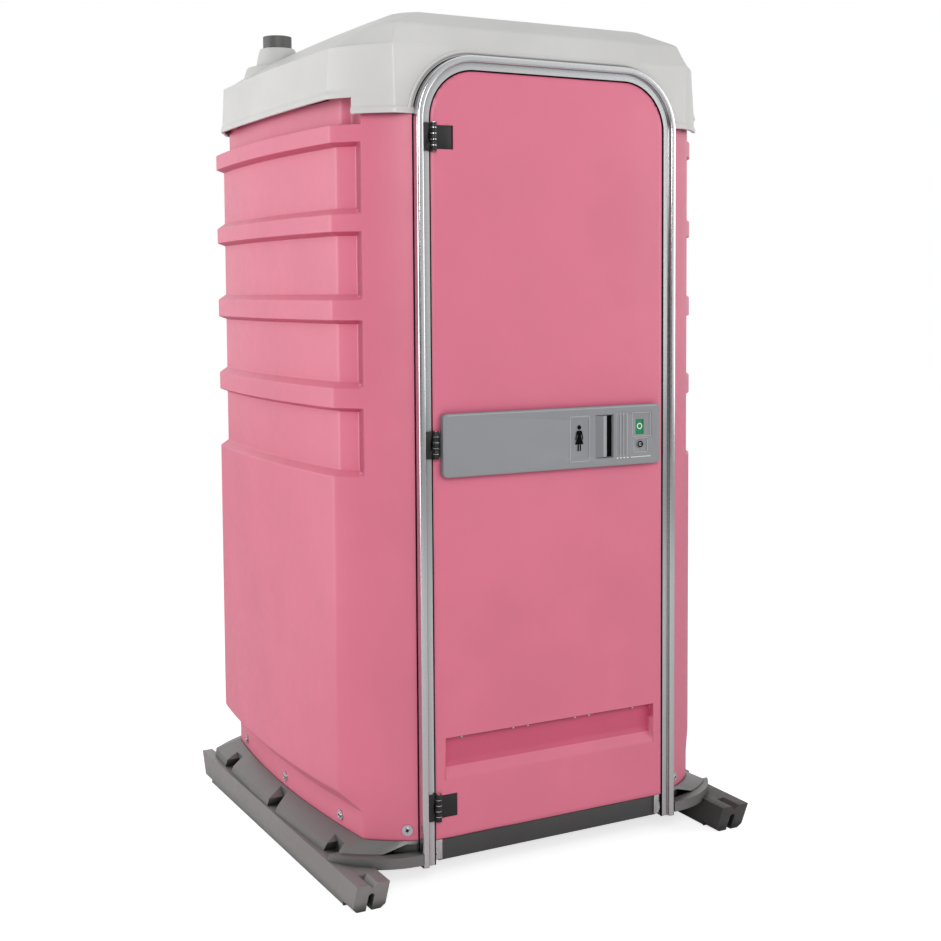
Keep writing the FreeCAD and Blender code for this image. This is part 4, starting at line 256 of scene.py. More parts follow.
SHELL_ROUGH = (0.36, 0.46)
# Darker pinks painted as shade on the ribs' undersides, the recesses' front ends and the door's kick recess
SHADE_PINK = moulded("pink_painted_shade", srgb(196, 80, 110), SHELL_ROUGH, corner_shade=srgb(176, 52, 88))
RAMP_SHADE_PINK = moulded("pink_ramp_shade", srgb(166, 50, 86), SHELL_ROUGH)
PINK = moulded("pink_plastic", srgb(213, 112, 136), SHELL_ROUGH, corner_shade=srgb(182, 62, 98))
ROOF = moulded("roof_plastic", srgb(203, 202, 200), (0.3, 0.4), corner_shade=srgb(150, 149, 147))
BASE = moulded("base_plastic", srgb(106, 105, 104), (0.27, 0.4), 0.5, srgb(34, 33, 32))
SHADED_BASE = moulded("base_shaded", srgb(62, 61, 60), (0.4, 0.55), 0.5, srgb(24, 24, 24))
# A lighter copy of the base plastic: painted light on the left skid
LIT_SKID = moulded("skid_lit_plastic", srgb(124, 122, 120), (0.3, 0.45), 0.5, srgb(44, 43, 42))
# Black for print, and painted shadow in gaps, in slots and behind the finger gaps
PRINT_AND_SHADOW_BLACK = moulded("black_print_and_shadow", srgb(7, 7, 7), (0.6, 0.7), shine=0.05)
SILL = moulded("sill_plastic", srgb(60, 60, 60), (0.45, 0.6))
TANK = moulded("tank_plastic", srgb(70, 72, 75))
GREY = moulded("lock_plastic", srgb(138, 139, 142), (0.4, 0.52))
BLACK = moulded("black_plastic", srgb(17, 17, 18), (0.35, 0.5))
PEG_GREY = moulded("peg_plastic", srgb(176, 177, 179), (0.4, 0.5))
SEAT = moulded("seat_plastic", srgb(26, 26, 28), (0.2, 0.3))
PIPE = moulded("pipe_plastic", srgb(88, 89, 87))
RED = moulded("red_flag", srgb(190, 30, 30), (0.2, 0.3))
GREEN = moulded("green_flag", srgb(20, 130, 80), (0.2, 0.3))
PAPER = moulded("paper", srgb(238, 236, 230), (0.85, 0.95), 0.6)
WHITE = moulded("white_print", srgb(232, 232, 230), (0.4, 0.5))
# A lighter grey for the grip's cheek: painted highlight
GRIP_LIT_GREY = moulded("grip_cheek_lit", srgb(158, 159, 161), (0.4, 0.5))
GRIP_SHADE = moulded("grip_shade", srgb(122, 123, 126), (0.4, 0.5))
EDGE_GREY = moulded("lock_edges", srgb(176, 177, 179), (0.4, 0.5))
ALUMINIUM = metal("satin_aluminium", (0.66, 0.67, 0.68), (0.14, 0.22), crease_shade_reach=0.014)
STEEL = metal("plated_steel", (0.62, 0.62, 0.63), scale=120)
CHROME = metal("coin_barrel", (0.60, 0.60, 0.61), (0.12, 0.22), 90)

FINISH = {
    "pink_shell": PINK,
    "roof_shell": ROOF,
    "dark_base": BASE,
    "tank_shell": TANK,
    "seat_black": SEAT,
    "lock_grey": GREY,
    "black_plastic": BLACK,
    "frame_aluminium": ALUMINIUM,
    "plated_steel": STEEL,
    "coin_barrel": CHROME,
    "flag_red": RED,
    "flag_green": GREEN,
    "pipe_grey": PIPE,
    "paper_white": PAPER,
}
OWN_FINISH = {"threshold": SILL, "vent_pegs": PEG_GREY}
for node, slot in NODE_SLOT.items():
    materials = NODES[node].data.materials
    materials.clear()
    materials.append(OWN_FINISH.get(node, FINISH[slot]))

# Mesh helpers


@contextmanager
def editing(mesh):
    """Opens a mesh for edits, and writes them back."""
    bm = bmesh.new()
    bm.from_mesh(mesh)
    yield bm
    bm.to_mesh(mesh)
    bm.free()


def merge(bm, distance):
    bmesh.ops.remove_doubles(bm, verts=bm.verts[:], dist=distance)


def finish_mesh(name, verts, faces, material, body, slot, sharp):
    """Makes one closed, smooth piece in metres and hangs it on a body."""
    mesh = bpy.data.meshes.new(name)
    mesh.from_pydata([tuple(v) for v in verts], [], faces)
    with editing(mesh) as bm:
        loose = [v for v in bm.verts if not v.link_faces]
        bmesh.ops.delete(bm, geom=loose, context="VERTS")
        bmesh.ops.recalc_face_normals(bm, faces=bm.faces[:])
    return hang(name, mesh, material, body, slot, sharp)


def hang(name, mesh, material, body, slot, sharp):
    """Links a mesh as a piece that rides on a body."""
    mesh.materials.clear()
    mesh.materials.append(material)
    mesh.shade_smooth()
    mesh.set_sharp_from_angle(angle=math.radians(sharp))
    thing = new_object(name, mesh)
    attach(thing, body)
    return thing


def shell(outer, inner, solid, closed=False, capped=False):
    """Vertices and faces of a sheet between two grids of points, with holes where solid is false."""
    rows, cols = outer.shape[:2]
    verts = np.concatenate([outer.reshape(-1, 3), inner.reshape(-1, 3)])
    spans = cols if closed else cols - 1

    def index(i, j, layer):
        return layer * rows * cols + i * cols + j % cols

    def filled(i, j):
        if closed:
            j %= spans
        return 0 <= i < rows - 1 and 0 <= j < spans and solid[i, j]

    faces = []
    for i in range(rows - 1):
        for j in range(spans):
            if not solid[i, j]:
                continue
            ring = [(i, j), (i, j + 1), (i + 1, j + 1), (i + 1, j)]
            faces.append([index(*p, 0) for p in ring])
            faces.append([index(*p, 1) for p in reversed(ring)])
            beside = [(i - 1, j), (i, j + 1), (i + 1, j), (i, j - 1)]
            for k, cell in enumerate(beside):
                at_top = capped and cell[0] == rows - 1
                if not filled(*cell) and not at_top:
                    p, q = ring[k], ring[(k + 1) % 4]
                    faces.append([index(*p, 0), index(*p, 1), index(*q, 1), index(*q, 0)])
    if capped:
        for layer in (0, 1):
            faces.append([index(rows - 1, j, layer) for j in range(cols)])
    return verts, faces


def loft(rings):
    """Vertices and faces of a closed solid through a row of like outlines."""
    n = len(rings[0])
    last = (len(rings) - 1) * n
    faces = [list(range(n))[::-1], list(range(last, last + n))]
    for start in range(0, last, n):
        for i in range(n):
            a, b = start + i, start + (i + 1) % n
            faces.append([a, b, b + n, a + n])
    return [point for ring in rings for point in ring], faces


def soft_min(a, b, width):
    share = np.clip(0.5 + 0.5 * (b - a) / width, 0, 1)
    return b * (1 - share) + a * share - width * share * (1 - share)


def soft_max(a, b, width):
    return -soft_min(-a, -b, width)


def eased_columns(points, middles, reach, passes):
    """Rounds a grid's creases: the columns near each middle drift towards their neighbours."""
    for _ in range(passes):
        for middle in middles:
            for j in range(max(1, middle - reach), min(points.shape[1] - 1, middle + reach + 1)):
                points[:, j] = 0.5 * points[:, j] + 0.25 * (points[:, j - 1] + points[:, j + 1])


CLOSEST = 0.4


def spaced(ends, keys, step, cluster):
    """Sorted places between two ends, no further apart than a step, with a cluster at each key."""
    places = set()
    marks = sorted({ends[0], ends[1], *[k for k in keys if ends[0] <= k <= ends[1]]})
    for a, b in zip(marks, marks[1:]):
        count = max(1, math.ceil((b - a) / step))
        places.update(a + (b - a) * i / count for i in range(count + 1))
    for key in keys:
        places.update(key + c for c in cluster if ends[0] <= key + c <= ends[1])
    ordered = sorted(places)
    kept = ordered[:1]
    for value in ordered[1:]:
        if value - kept[-1] > CLOSEST:
            kept.append(value)
    kept[-1] = ends[1]
    return np.array(kept)


def circle_through(a, b, c):
    """Centre and radius of the circle through three plan points."""
    ax, ay, bx, by, cx, cy = *a, *b, *c
    area = 2 * (ax * (by - cy) + bx * (cy - ay) + cx * (ay - by))
    aa, bb, cc = ax * ax + ay * ay, bx * bx + by * by, cx * cx + cy * cy
    x = (aa * (by - cy) + bb * (cy - ay) + cc * (ay - by)) / area
    y = (aa * (cx - bx) + bb * (ax - cx) + cc * (bx - ax)) / area
    return np.array((x, y)), math.hypot(ax - x, ay - y)


def arc(circle, start, end, shares):
    """Points on a circle between two of its points, the short way round."""
    centre, radius = circle
    a, b = (math.atan2(*(point - centre)[::-1]) for point in (start, end))
    angle = a + math.remainder(b - a, 2 * math.pi) * shares
    return centre + radius * np.stack([np.cos(angle), np.sin(angle)], 1)


# Walls, in millimetres: the plan curves of the cabin

WALL_SHEET = 5.0
JAMB_Y, REAR_Y = -528.0, 562.0
FLANGE_X, REAR_FLANGE_X = -362.0, -455.0
WALL_LOW, WALL_HIGH = 130.0, 2058.0
BAND_TOP, SHOULDER_TOP = 201.0, 245.0
APRON_FOOT = 1990.0
NOTCH_X, NOTCH_Y = -412.0, -480.0
SLOT_LOW, SLOT_HIGH, SLOT_X = 2038.0, 2048.0, -400.0
SLOTS = ((-330, -130), (-70, 130), (190, 390))


def left_of(circle, y):
    """The left-hand point of a circle at one y."""
    centre, radius = circle
    return np.array((centre[0] - math.sqrt(radius**2 - (y - centre[1]) ** 2), y))


def meeting(one, two, near):
    """Where two circles meet, nearest to a point."""
    (a, ar), (b, br) = one, two
    gap = np.linalg.norm(b - a)
    along = (ar**2 - br**2 + gap**2) / (2 * gap)
    side = math.sqrt(max(ar**2 - along**2, 0))
    u = (b - a) / gap
    v = np.array((-u[1], u[0]))
    return min((a + along * u + s * side * v for s in (-1, 1)), key=lambda p: np.linalg.norm(p - near))


class Plan:
    """The left half of the cabin in plan, which can be set inwards by a depth and a thickness."""

    def __init__(self, corner, fold, side_middle, rear, facet):
        self.corner, self.fold = corner, np.array(fold)
        self.side = circle_through(fold, side_middle, rear)
        self.rear, self.facet = np.array(rear), np.array(facet)

    def path(self, shares, depth, thick):
        """Points along flange, corner, side, facet and rear flange."""
        inset = depth + thick
        corner = (self.corner[0], self.corner[1] - inset)
        side = (self.side[0], self.side[1] - inset)
        jamb = left_of((self.corner[0], self.corner[1] - thick), JAMB_Y + thick) - self.corner[0]
        start = self.corner[0] + jamb * corner[1] / np.linalg.norm(jamb)
        fold = meeting(corner, side, self.fold)
        u = (self.facet - self.rear) / np.linalg.norm(self.facet - self.rear)
        base = self.rear + inset * np.array((u[1], -u[0]))
        offset = base - side[0]
        back = offset @ u
        rear = base - u * (back + math.sqrt(back**2 - offset @ offset + side[1] ** 2))
        end_y = REAR_Y - thick
        facet = base + u * ((end_y - base[1]) / u[1])
        jamb_end, flange_end = (FLANGE_X, JAMB_Y + thick), np.array((REAR_FLANGE_X, end_y))
        out = [
            np.linspace(jamb_end, start, len(shares[0])),
            arc(corner, start, fold, shares[1])[1:],
            arc(side, fold, rear, shares[2])[1:],
            (rear + (facet - rear) * shares[3][:, None])[1:],
            (facet + (flange_end - facet) * shares[4][:, None])[1:],
        ]
        return np.concatenate(out)


CORNER_ARC = (np.array((-237.75, -165.16)), 394.26)
FOOT_FOLD = left_of(CORNER_ARC, -445)
MAIN_PLAN = Plan(CORNER_ARC, (-563, -388), (-590, 65), (-558, 529), (-530, REAR_Y))
FOOT_PLAN = Plan(CORNER_ARC, FOOT_FOLD, (-545, 60), (-512, 521), (-477.5, REAR_Y))

# Recessed side panels between the ribs

RECESS, CORNICE, FLANK, CORNICE_FLANK = 22.0, 40.0, 16.0, 6.0
FIRST_LOW, FIRST_HIGH, RIB_PITCH = 1072.0, 1248.0, 224.7
PANELS = []
panel_low = FIRST_LOW
for rib, rib_height in enumerate((51, 51, 44, 44)):
    under = FIRST_HIGH + RIB_PITCH * rib
    PANELS.append((panel_low, under, RECESS, FLANK))
    panel_low = under + rib_height
PANELS.append((panel_low, WALL_HIGH + 100, CORNICE, CORNICE_FLANK))
EDGE_SOFT = 2.2
UNDERSIDE = 0.55
EDGE_ROWS = (-4, -2.4, -1, 1, 2.4, 4)


def panel_keys(panels):
    """Levels where the panels' section bends."""
    found = []
    for low, high, _, flank in panels:
        found += [low, low + flank, high - UNDERSIDE * flank, high]
    return found


def panel_depth(z, ramp, panels):
    """Depth of the panels at each height (rows) and place along the wall (columns)."""
    total = np.zeros((len(z), len(ramp)))
    for low, high, depth, flank in panels:
        rise = np.minimum((z - low) / flank, (high - z) / (UNDERSIDE * flank)) * depth
        whole = soft_min(rise[:, None], ramp[None, :], EDGE_SOFT)
        whole = soft_max(soft_min(whole, depth, EDGE_SOFT), 0.0, EDGE_SOFT)
        total = np.maximum(total, whole)
    return total


RAMP_START_Y, RAMP_LENGTH = -454.5, 25.0
RAMP_SLOPE = RECESS / RAMP_LENGTH
ARC_LENGTH, SIDE_LENGTH = 232.0, 920.0
RAMP_AT = 0.585 * ARC_LENGTH
FLANGE_POINTS, FACET_POINTS = 4, 9
NEAR_FOLD = (-9, -6, -4, -2, 2, 4, 6, 9)
BEND_SOFT = 0.2


def side_wall():
    """The left wall's grids of points and its solid cells, in millimetres."""
    corner = spaced((0, ARC_LENGTH), [RAMP_AT, RAMP_AT + RAMP_LENGTH, ARC_LENGTH], 11, NEAR_FOLD[:-1])
    side = spaced((0, SIDE_LENGTH), [0, SIDE_LENGTH], 30, NEAR_FOLD)
    even = np.linspace(0, 1, FACET_POINTS)
    shares = [np.linspace(0, 1, FLANGE_POINTS), corner / ARC_LENGTH, side / SIDE_LENGTH, even, even]
    levels = panel_keys(PANELS) + [BAND_TOP, SHOULDER_TOP, SLOT_LOW, SLOT_HIGH, APRON_FOOT]
    z = spaced((WALL_LOW, WALL_HIGH), levels, 36, EDGE_ROWS)
    below = (SHOULDER_TOP - z) / (SHOULDER_TOP - BAND_TOP)
    weight = soft_max(soft_min(below, 1.0, BEND_SOFT), 0.0, BEND_SOFT)[:, None, None]

    def blended(depth, thick):
        """Grid of points for one face of the sheet."""
        flat = MAIN_PLAN.path(shares, 0, thick)
        deep = MAIN_PLAN.path(shares, CORNICE, thick)
        foot = FOOT_PLAN.path(shares, 0, thick)
        plan = flat + (deep - flat) * (depth[:, :, None] / CORNICE)
        plan = plan * (1 - weight) + foot * weight
        return np.dstack([plan, np.broadcast_to(z[:, None], plan.shape[:2])])

    outline = MAIN_PLAN.path(shares, 0, 0)
    walked = np.concatenate([[0], np.cumsum(np.linalg.norm(np.diff(outline, axis=0), axis=1))])
    on_arc = slice(FLANGE_POINTS - 1, FLANGE_POINTS - 1 + len(corner))
    ramp = (walked - np.interp(RAMP_START_Y, outline[on_arc, 1], walked[on_arc])) * RAMP_SLOPE
    depth = panel_depth(z, ramp, PANELS)
    folds = np.cumsum([len(share) - 1 for share in shares])[1:4]
    outer, inner = blended(depth, 0.0), blended(depth, WALL_SHEET)
    for grid in (outer, inner):
        eased_columns(grid, folds[:1], 4, 6)
        eased_columns(grid, folds[1:], 3, 4)
    x, y, _ = np.moveaxis((outer[:-1, 1:] + outer[:-1, :-1]) / 2, 2, 0)
    level = (z[1:, None] + z[:-1, None]) / 2
    solid = ~((level > APRON_FOOT) & (x > NOTCH_X) & (y < NOTCH_Y))
    for low, high in SLOTS:
        solid &= ~((level > SLOT_LOW) & (level < SLOT_HIGH) & (x < SLOT_X) & (y > low) & (y < high))
    return outer, inner, solid


FLANK_LEVELS, RAMP_PLACES = (1070, 2000), (-456, -402)
FACES_OUT, FACES_DOWN, FACES_FRONT, UPRIGHT = 0.2, -0.35, -0.4, 0.5


def shade_flanks(thing, side):
    """Paints shade on the ribs' undersides and the recesses' front ends with the darker pinks."""
    thing.data.materials.append(SHADE_PINK)
    thing.data.materials.append(RAMP_SHADE_PINK)
    for face in thing.data.polygons:
        spot, way = face.center / MM, face.normal
        if not FLANK_LEVELS[0] < spot.z < FLANK_LEVELS[1] or way.x * side < FACES_OUT:
            continue
        if way.z < FACES_DOWN:
            face.material_index = 1
        elif RAMP_PLACES[0] < spot.y < RAMP_PLACES[1] and way.y > FACES_FRONT and abs(way.z) < UPRIGHT:
            face.material_index = 2


def skin(node, verts, faces, material, sharp):
    """A piece of the cabin that stands for its CAD node."""
    piece = finish_mesh(node + "_skin", verts, faces, material, "cabin", NODE_SLOT[node], sharp)
    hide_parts(node)
    return piece


outer, inner, solid = side_wall()
wall_verts, wall_faces = shell(outer * MM, inner * MM, solid)
for side, node in ((-1, "left_wall"), (1, "right_wall")):
    shade_flanks(skin(node, wall_verts * (-side, 1, 1), wall_faces, PINK, 50), side)

# The rear panel, ribbed like the sides and flat along its edges

BACK_HALF, BACK_RIM = 470.0, 45.0
edge = BACK_HALF - BACK_RIM
x = spaced((-BACK_HALF, BACK_HALF), [-edge, FLANK - edge, edge - FLANK, edge], 60, EDGE_ROWS)
z = spaced((WALL_LOW, WALL_HIGH), panel_keys(PANELS[:-1]), 60, EDGE_ROWS)
depth = panel_depth(z, (edge - np.abs(x)) * RECESS / FLANK, PANELS[:-1])
zz, xx = np.meshgrid(z, x, indexing="ij")
outer, inner = (np.dstack([xx, REAR_Y - WALL_SHEET - depth - inset, zz]) for inset in (0, WALL_SHEET))
back_verts, back_faces = shell(outer * MM, inner * MM, np.ones((len(z) - 1, len(x) - 1), bool))
skin("back_wall", back_verts, back_faces, PINK, 50)

# Roof

SKIRT_FOOT, SKIRT_TOP, FASCIA_TOP, CROWN = 2031.0, 2160.0, 2220.0, 2262.0
ROOF_SHEET, LEDGE_RISE = 5.0, 5.0
CORNER_BULGE, MITRE = 0.078, 0.45
ROOF_RUNS = (445, 190, 840, 135, 500)
ROOF_ROWS = (9, 26, 3, 12, 9, 9, 5)
NEAR_CREASE = (-11, -7, -4, -2, 2, 4, 7, 11)
SOFT_KNEES = slice(3, 5)

# Height, drop of the inner face, front y, front half width, corner, side x, rear, back half width, back y
ROOF_LEVELS = [
    (APRON_FOOT, 0, JAMB_Y, 443, (570, -388), 574, (563, 450), 505, 572),
    (SKIRT_FOOT, 0, JAMB_Y, 443, (570, -388), 574, (563, 450), 505, 572),
    (SKIRT_TOP, 3.5, JAMB_Y, 448, (558, -377), 566, (556, 452), 496, 565),
    (SKIRT_TOP + LEDGE_RISE, 3.5, -526, 447, (545, -370), 552, (542, 446), 486, 551),
    (FASCIA_TOP, 4.5, -505, 431, (462, -392), 470, (454, 444), 420, 467),
    (CROWN, 5, -438, 332, (378, -386), 384, (374, 359), 338, 397),
    (CROWN + 5, 5, -278, 188, (228, -258), 232, (226, 199), 188, 242),
    (CROWN + 6, 5, -10, 12, (14, -9), 15, (14, 9), 12, 11),
]


def roof_ring(runs, front_y, front_half, corner, side_x, rear, back_half, back_y, inset):
    """Plan points of one level of the roof, round from the middle of the front over the right side."""
    front = np.array((front_half - MITRE * inset, front_y + inset))
    fold = np.array((corner[0] - inset, corner[1] + MITRE * inset))
    side = np.array((side_x - inset, (corner[1] + rear[1]) / 2))
    tail = np.array((rear[0] - inset, rear[1] - MITRE * inset))
    back = np.array((back_half - MITRE * inset, back_y - inset))
    bulged = (front + fold) / 2 + CORNER_BULGE * np.array((fold[1] - front[1], front[0] - fold[0]))
    front_middle, back_middle = np.array((0, front[1])), np.array((0, back[1]))
    half = [
        front_middle + (front - front_middle) * runs[0][:, None],
        arc(circle_through(front, bulged, fold), front, fold, runs[1])[1:],
        arc(circle_through(fold, side, tail), fold, tail, runs[2])[1:],
        (tail + (back - tail) * runs[3][:, None])[1:],
        (back + (back_middle - back) * runs[4][:, None])[1:],
    ]
    half = np.concatenate(half)
    return np.concatenate([half, (half * (-1, 1))[-2:0:-1]])


def roof_grid(inset):
    """The roof's surface as rows from the foot to the middle."""
    runs = []
    for i, length in enumerate(ROOF_RUNS):
        keys = [key for key, wanted in ((0, i > 0), (length, i < 4)) if wanted]
        runs.append(spaced((0, length), keys, 40 if i else 13, NEAR_CREASE) / length)
    rings = []
    for height, drop, *shape in ROOF_LEVELS:
        peak = height == ROOF_LEVELS[-1][0]
        plan = roof_ring(runs, *shape, 0.0 if peak else inset)
        rings.append(np.column_stack([plan, np.full(len(plan), height - (drop if inset else 0))]))
    rows = []
    for low, high, count in zip(rings, rings[1:], ROOF_ROWS):
        rows += [low + (high - low) * (k / count) for k in range(count)]
    grid = np.array(rows + rings[-1:])
    edges = np.cumsum([len(run) - 1 for run in runs])[:4]
    eased_columns(grid, [*edges, *(grid.shape[1] - edges)], 1, 2)
    eased_columns(grid.swapaxes(0, 1), np.cumsum(ROOF_ROWS)[SOFT_KNEES], 0, 1)
    return grid


# The lip round the roof's foot

ROOF_MIDDLE, APRON_REAR_Y = (0, 10), -445
LIP_OUT, LIP_TOP, LIP_FADE = 4.0, 18.0, 6.0
roof_outer, roof_inner = roof_grid(0.0), roof_grid(ROOF_SHEET)
flat = roof_outer[:, :, :2] - ROOF_MIDDLE
outwards = flat / np.linalg.norm(flat, axis=2, keepdims=True)
foot_level = np.where(roof_outer[:, :, 1] < APRON_REAR_Y, APRON_FOOT, SKIRT_FOOT)
lip = LIP_OUT * np.clip((foot_level + LIP_TOP - roof_outer[:, :, 2]) / LIP_FADE, 0, 1)
on_front = (np.abs(roof_outer[:, :, 1] - JAMB_Y) < 2)[:, :, None]
outwards = np.where(on_front, (0, -1), outwards)
roof_outer[:, :, :2] += outwards * lip[:, :, None]

# The roof's foot rises behind the apron, and the door's arch is cut out of it

ARCH_HALF, ARCH_TOP, ARCH_RADIUS, ARCH_REAR_Y = 374.0, 2121.0, 145.0, -490
mid = (roof_outer[1:, :] + roof_outer[:-1, :]) / 2
mid = (mid + np.roll(mid, -1, axis=1)) / 2
over_x = np.maximum(np.abs(mid[:, :, 0]) - (ARCH_HALF - ARCH_RADIUS), 0)
over_z = np.maximum(mid[:, :, 2] - (ARCH_TOP - ARCH_RADIUS), 0)
in_arch = (np.hypot(over_x, over_z) < ARCH_RADIUS) & (mid[:, :, 1] < ARCH_REAR_Y)
below_skirt = (mid[:, :, 2] < SKIRT_FOOT) & (mid[:, :, 1] > APRON_REAR_Y)
roof_solid = ~below_skirt & ~in_arch
roof_verts, roof_faces = shell(roof_outer * MM, roof_inner * MM, roof_solid, closed=True, capped=True)
skin("roof", roof_verts, roof_faces, ROOF, 24)


def lathe(name, spot, profile, material, body, slot, segments, sharp=30, axis=(0, 0, 1)):
    """A turned piece. Its profile of radius and height is closed, or starts and ends on the axis."""
    turn = Vector((0, 0, 1)).rotation_difference(Vector(axis))
    rings = []
    for k in range(segments):
        angle = 2 * math.pi * k / segments
        points = [Vector((r * math.cos(angle), r * math.sin(angle), h)) for r, h in profile]
        rings.append([(turn @ point + Vector(spot)) * MM for point in points])
    count = len(profile)
    verts = [point for ring in rings for point in ring]
    faces = []
    for k in range(segments):
        for i in range(count - 1):
            a, b = k * count + i, (k + 1) % segments * count + i
            faces.append([a, b, b + 1, a + 1])
    thing = finish_mesh(name, verts, faces, material, body, slot, sharp)
    with editing(thing.data) as bm:
        merge(bm, 1e-6)
    return thing


# Vent boss on the roof

BOSS = [(46.5, 2190.0), (46.5, 2276.0), (48.5, 2278.0), (51.5, 2278.0), (54.0, 2275.5)]
BOSS += [(65.0, 2227.0), (67.0, 2222.5), (71.0, 2221.0), (86.0, 2221.0), (91.0, 2219.5), (94.0, 2216.0)]
BOSS += [(116.0, 2142.0), (112.0, 2140.0), (88.0, 2210.0), (58.0, 2212.0), (46.5, 2190.0)]
lathe("vent_boss", (-409, 376, 0), BOSS, ROOF, "cabin", "roof_shell", 64, 25)

# Swept and rounded pieces

HOOP_TURNS, HOOP_STEPS = 22, 24


def hoop_points(half, top, radius, foot):
    """Points of an upside-down U and their outward directions, in the front plane."""
    centre_z = top - radius
    spots, aims = [], []
    if foot < centre_z:
        for z in np.linspace(foot, centre_z, HOOP_STEPS)[:-1]:
            spots.append((-half, z))
            aims.append((-1.0, 0.0))
    for k in range(HOOP_TURNS + 1):
        angle = math.pi - math.pi / 2 * k / HOOP_TURNS
        aim = (math.cos(angle), math.sin(angle))
        if centre_z + radius * aim[1] >= foot:
            spots.append((radius - half + radius * aim[0], centre_z + radius * aim[1]))
            aims.append(aim)
    mirrored = [(-x, z) for x, z in spots[::-1]]
    turned = [(-x, z) for x, z in aims[::-1]]
    return zip(spots + mirrored, aims + turned)


def hoop_sweep(name, hoop, section, material, slot, sharp=40):
    """Sweeps a closed section of (inset, y) points round a hoop."""
    rings = []
    for (x, z), (ax, az) in hoop_points(*hoop):
        rings.append([((x - ax * inset) * MM, y * MM, (z - az * inset) * MM) for inset, y in section])
    return finish_mesh(name, *loft(rings), material, "cabin", slot, sharp)


def bent(centre, start, end):
    """Points of a quarter-round about a centre."""
    centre = np.array(centre)
    radius = np.linalg.norm(start - centre)
    return list(arc((centre, radius), start, end, np.linspace(0, 1, 7)))


# Door frame: half width, top, corner radius and foot of its hoop, and its section of (inset, y) points

FRAME_HOOP = (395.0, 2142.0, 166.0, 64.0)
FRONT, MOUNT = -556.0, JAMB_Y
section = [(0.0, MOUNT)]
section += bent((6, FRONT + 6), (0, FRONT + 6), (6, FRONT))
section += bent((13, FRONT + 5), (13, FRONT), (18, FRONT + 5))
section += [(18, FRONT + 9), (19, FRONT + 10), (36, FRONT + 10), (37.5, FRONT + 11.5)]
section += [(37.5, FRONT + 41), (50, FRONT + 41), (50, FRONT + 44), (34.5, FRONT + 44)]
section += [(34.5, FRONT + 13), (18, FRONT + 13), (18, MOUNT)]
door_hoop = hoop_sweep("door_frame_sweep", FRAME_HOOP, section, ALUMINIUM, "frame_aluminium")
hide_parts("door_frame")

# Thin black strips along the frame: painted shadow lines in the gap outside it and in the gap between it and
# the door

OUTER_SHADOW_LINE = [(-1.8, MOUNT + 1), (-1.8, MOUNT - 1.2), (0.6, MOUNT - 3), (0.6, MOUNT + 1)]
hoop_sweep("frame_outer_shadow_line", FRAME_HOOP, OUTER_SHADOW_LINE, PRINT_AND_SHADOW_BLACK, "frame_aluminium")
INNER_SHADOW_LINE = [(36.5, FRONT + 14), (36.5, FRONT + 10.6), (40.0, FRONT + 10.6), (40.0, FRONT + 14)]
hoop_sweep("frame_inner_shadow_line", FRAME_HOOP, INNER_SHADOW_LINE, PRINT_AND_SHADOW_BLACK, "frame_aluminium")

# The roof's bead over the door

BEAD_INSET, BEAD_HALF, BEAD_OUT, BEAD_STEPS = -11.0, 5.5, 3.2, 8
bead_section = [(BEAD_INSET - 6, MOUNT + 2)]
for k in range(BEAD_STEPS + 1):
    angle = math.pi * k / BEAD_STEPS
    bead_section.append((BEAD_INSET - BEAD_HALF * math.cos(angle), MOUNT - 0.2 - BEAD_OUT * math.sin(angle)))
bead_section.append((BEAD_INSET + 6, MOUNT + 2))
hoop_sweep("roof_bead", (*FRAME_HOOP[:3], APRON_FOOT + 6), bead_section, ROOF, "roof_shell", 60)

# CAD shapes that keep their form and get rounded edges

FLAT_ANGLE, SHARP_ANGLE = math.radians(1.5), math.radians(28)


def ease_node(node, width, material, body):
    """Replaces a node by a copy of itself with its sharp edges rounded."""
    mesh = NODES[node].data.copy()
    mesh.name = node + "_eased"
    with editing(mesh) as bm:
        merge(bm, 1e-5)
        bmesh.ops.dissolve_limit(bm, angle_limit=FLAT_ANGLE, verts=bm.verts[:], edges=bm.edges[:])
        folds = [e for e in bm.edges if len(e.link_faces) == 2 and e.calc_face_angle(0) > SHARP_ANGLE]
        rounding = dict(offset=width * MM, offset_type="OFFSET", segments=2, profile=0.5)
        bmesh.ops.bevel(bm, geom=folds, affect="EDGES", clamp_overlap=True, **rounding)
    piece = hang(node + "_skin", mesh, material, body, NODE_SLOT[node], 40)
    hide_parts(node)


# Painted light and shade: both skids are the base plastic, the left in the lighter copy and the right in the
# shaded one.
ease_node("skid_left", 3.0, LIT_SKID, "cabin")
ease_node("skid_right", 3.0, SHADED_BASE, "cabin")
ease_node("threshold", 1.5, SILL, "cabin")
ease_node("lock_plate", 1.2, GREY, "door")
ease_node("hinge_frame_leaves", 0.6, BLACK, "cabin")
ease_node("frame_feet", 0.6, STEEL, "cabin")
ease_node("hinge_door_leaves", 0.8, BLACK, "door")

# Closed floors and backs of the finger gaps over the corner grip bars. The backs are black as painted
# shadow, and the floors take the shaded copy of the base.

GAP_FLOOR = [(-395, -541), (-445, -533), (-490, -520), (-540, -485), (-582, -438)]
GAP_FLOOR += [(-556, -420), (-510, -455), (-455, -490), (-395, -505)]
GAP_BACK = GAP_FLOOR[6:]
GAP_LOW, FLOOR_TOP, BACK_TOP, BACK_THICK = 78, 82, 128, 4
for side, name in ((1, "gap_floor_left"), (-1, "gap_floor_right")):
    rings = [[(side * x * MM, y * MM, z * MM) for x, y in GAP_FLOOR] for z in (GAP_LOW, FLOOR_TOP)]
    finish_mesh(name, *loft(rings), SHADED_BASE, "cabin", "dark_base", 30)
    rings = []
    for x, y in GAP_BACK:
        ring = [(y, GAP_LOW), (y + BACK_THICK, GAP_LOW), (y + BACK_THICK, BACK_TOP), (y, BACK_TOP)]
        rings.append([(side * x * MM, v * MM, z * MM) for v, z in ring])
    finish_mesh(name + "_back", *loft(rings), PRINT_AND_SHADOW_BLACK, "cabin", "dark_base", 30)

# Door skin: the outer sheet crowns gently between its edges and the lock plate

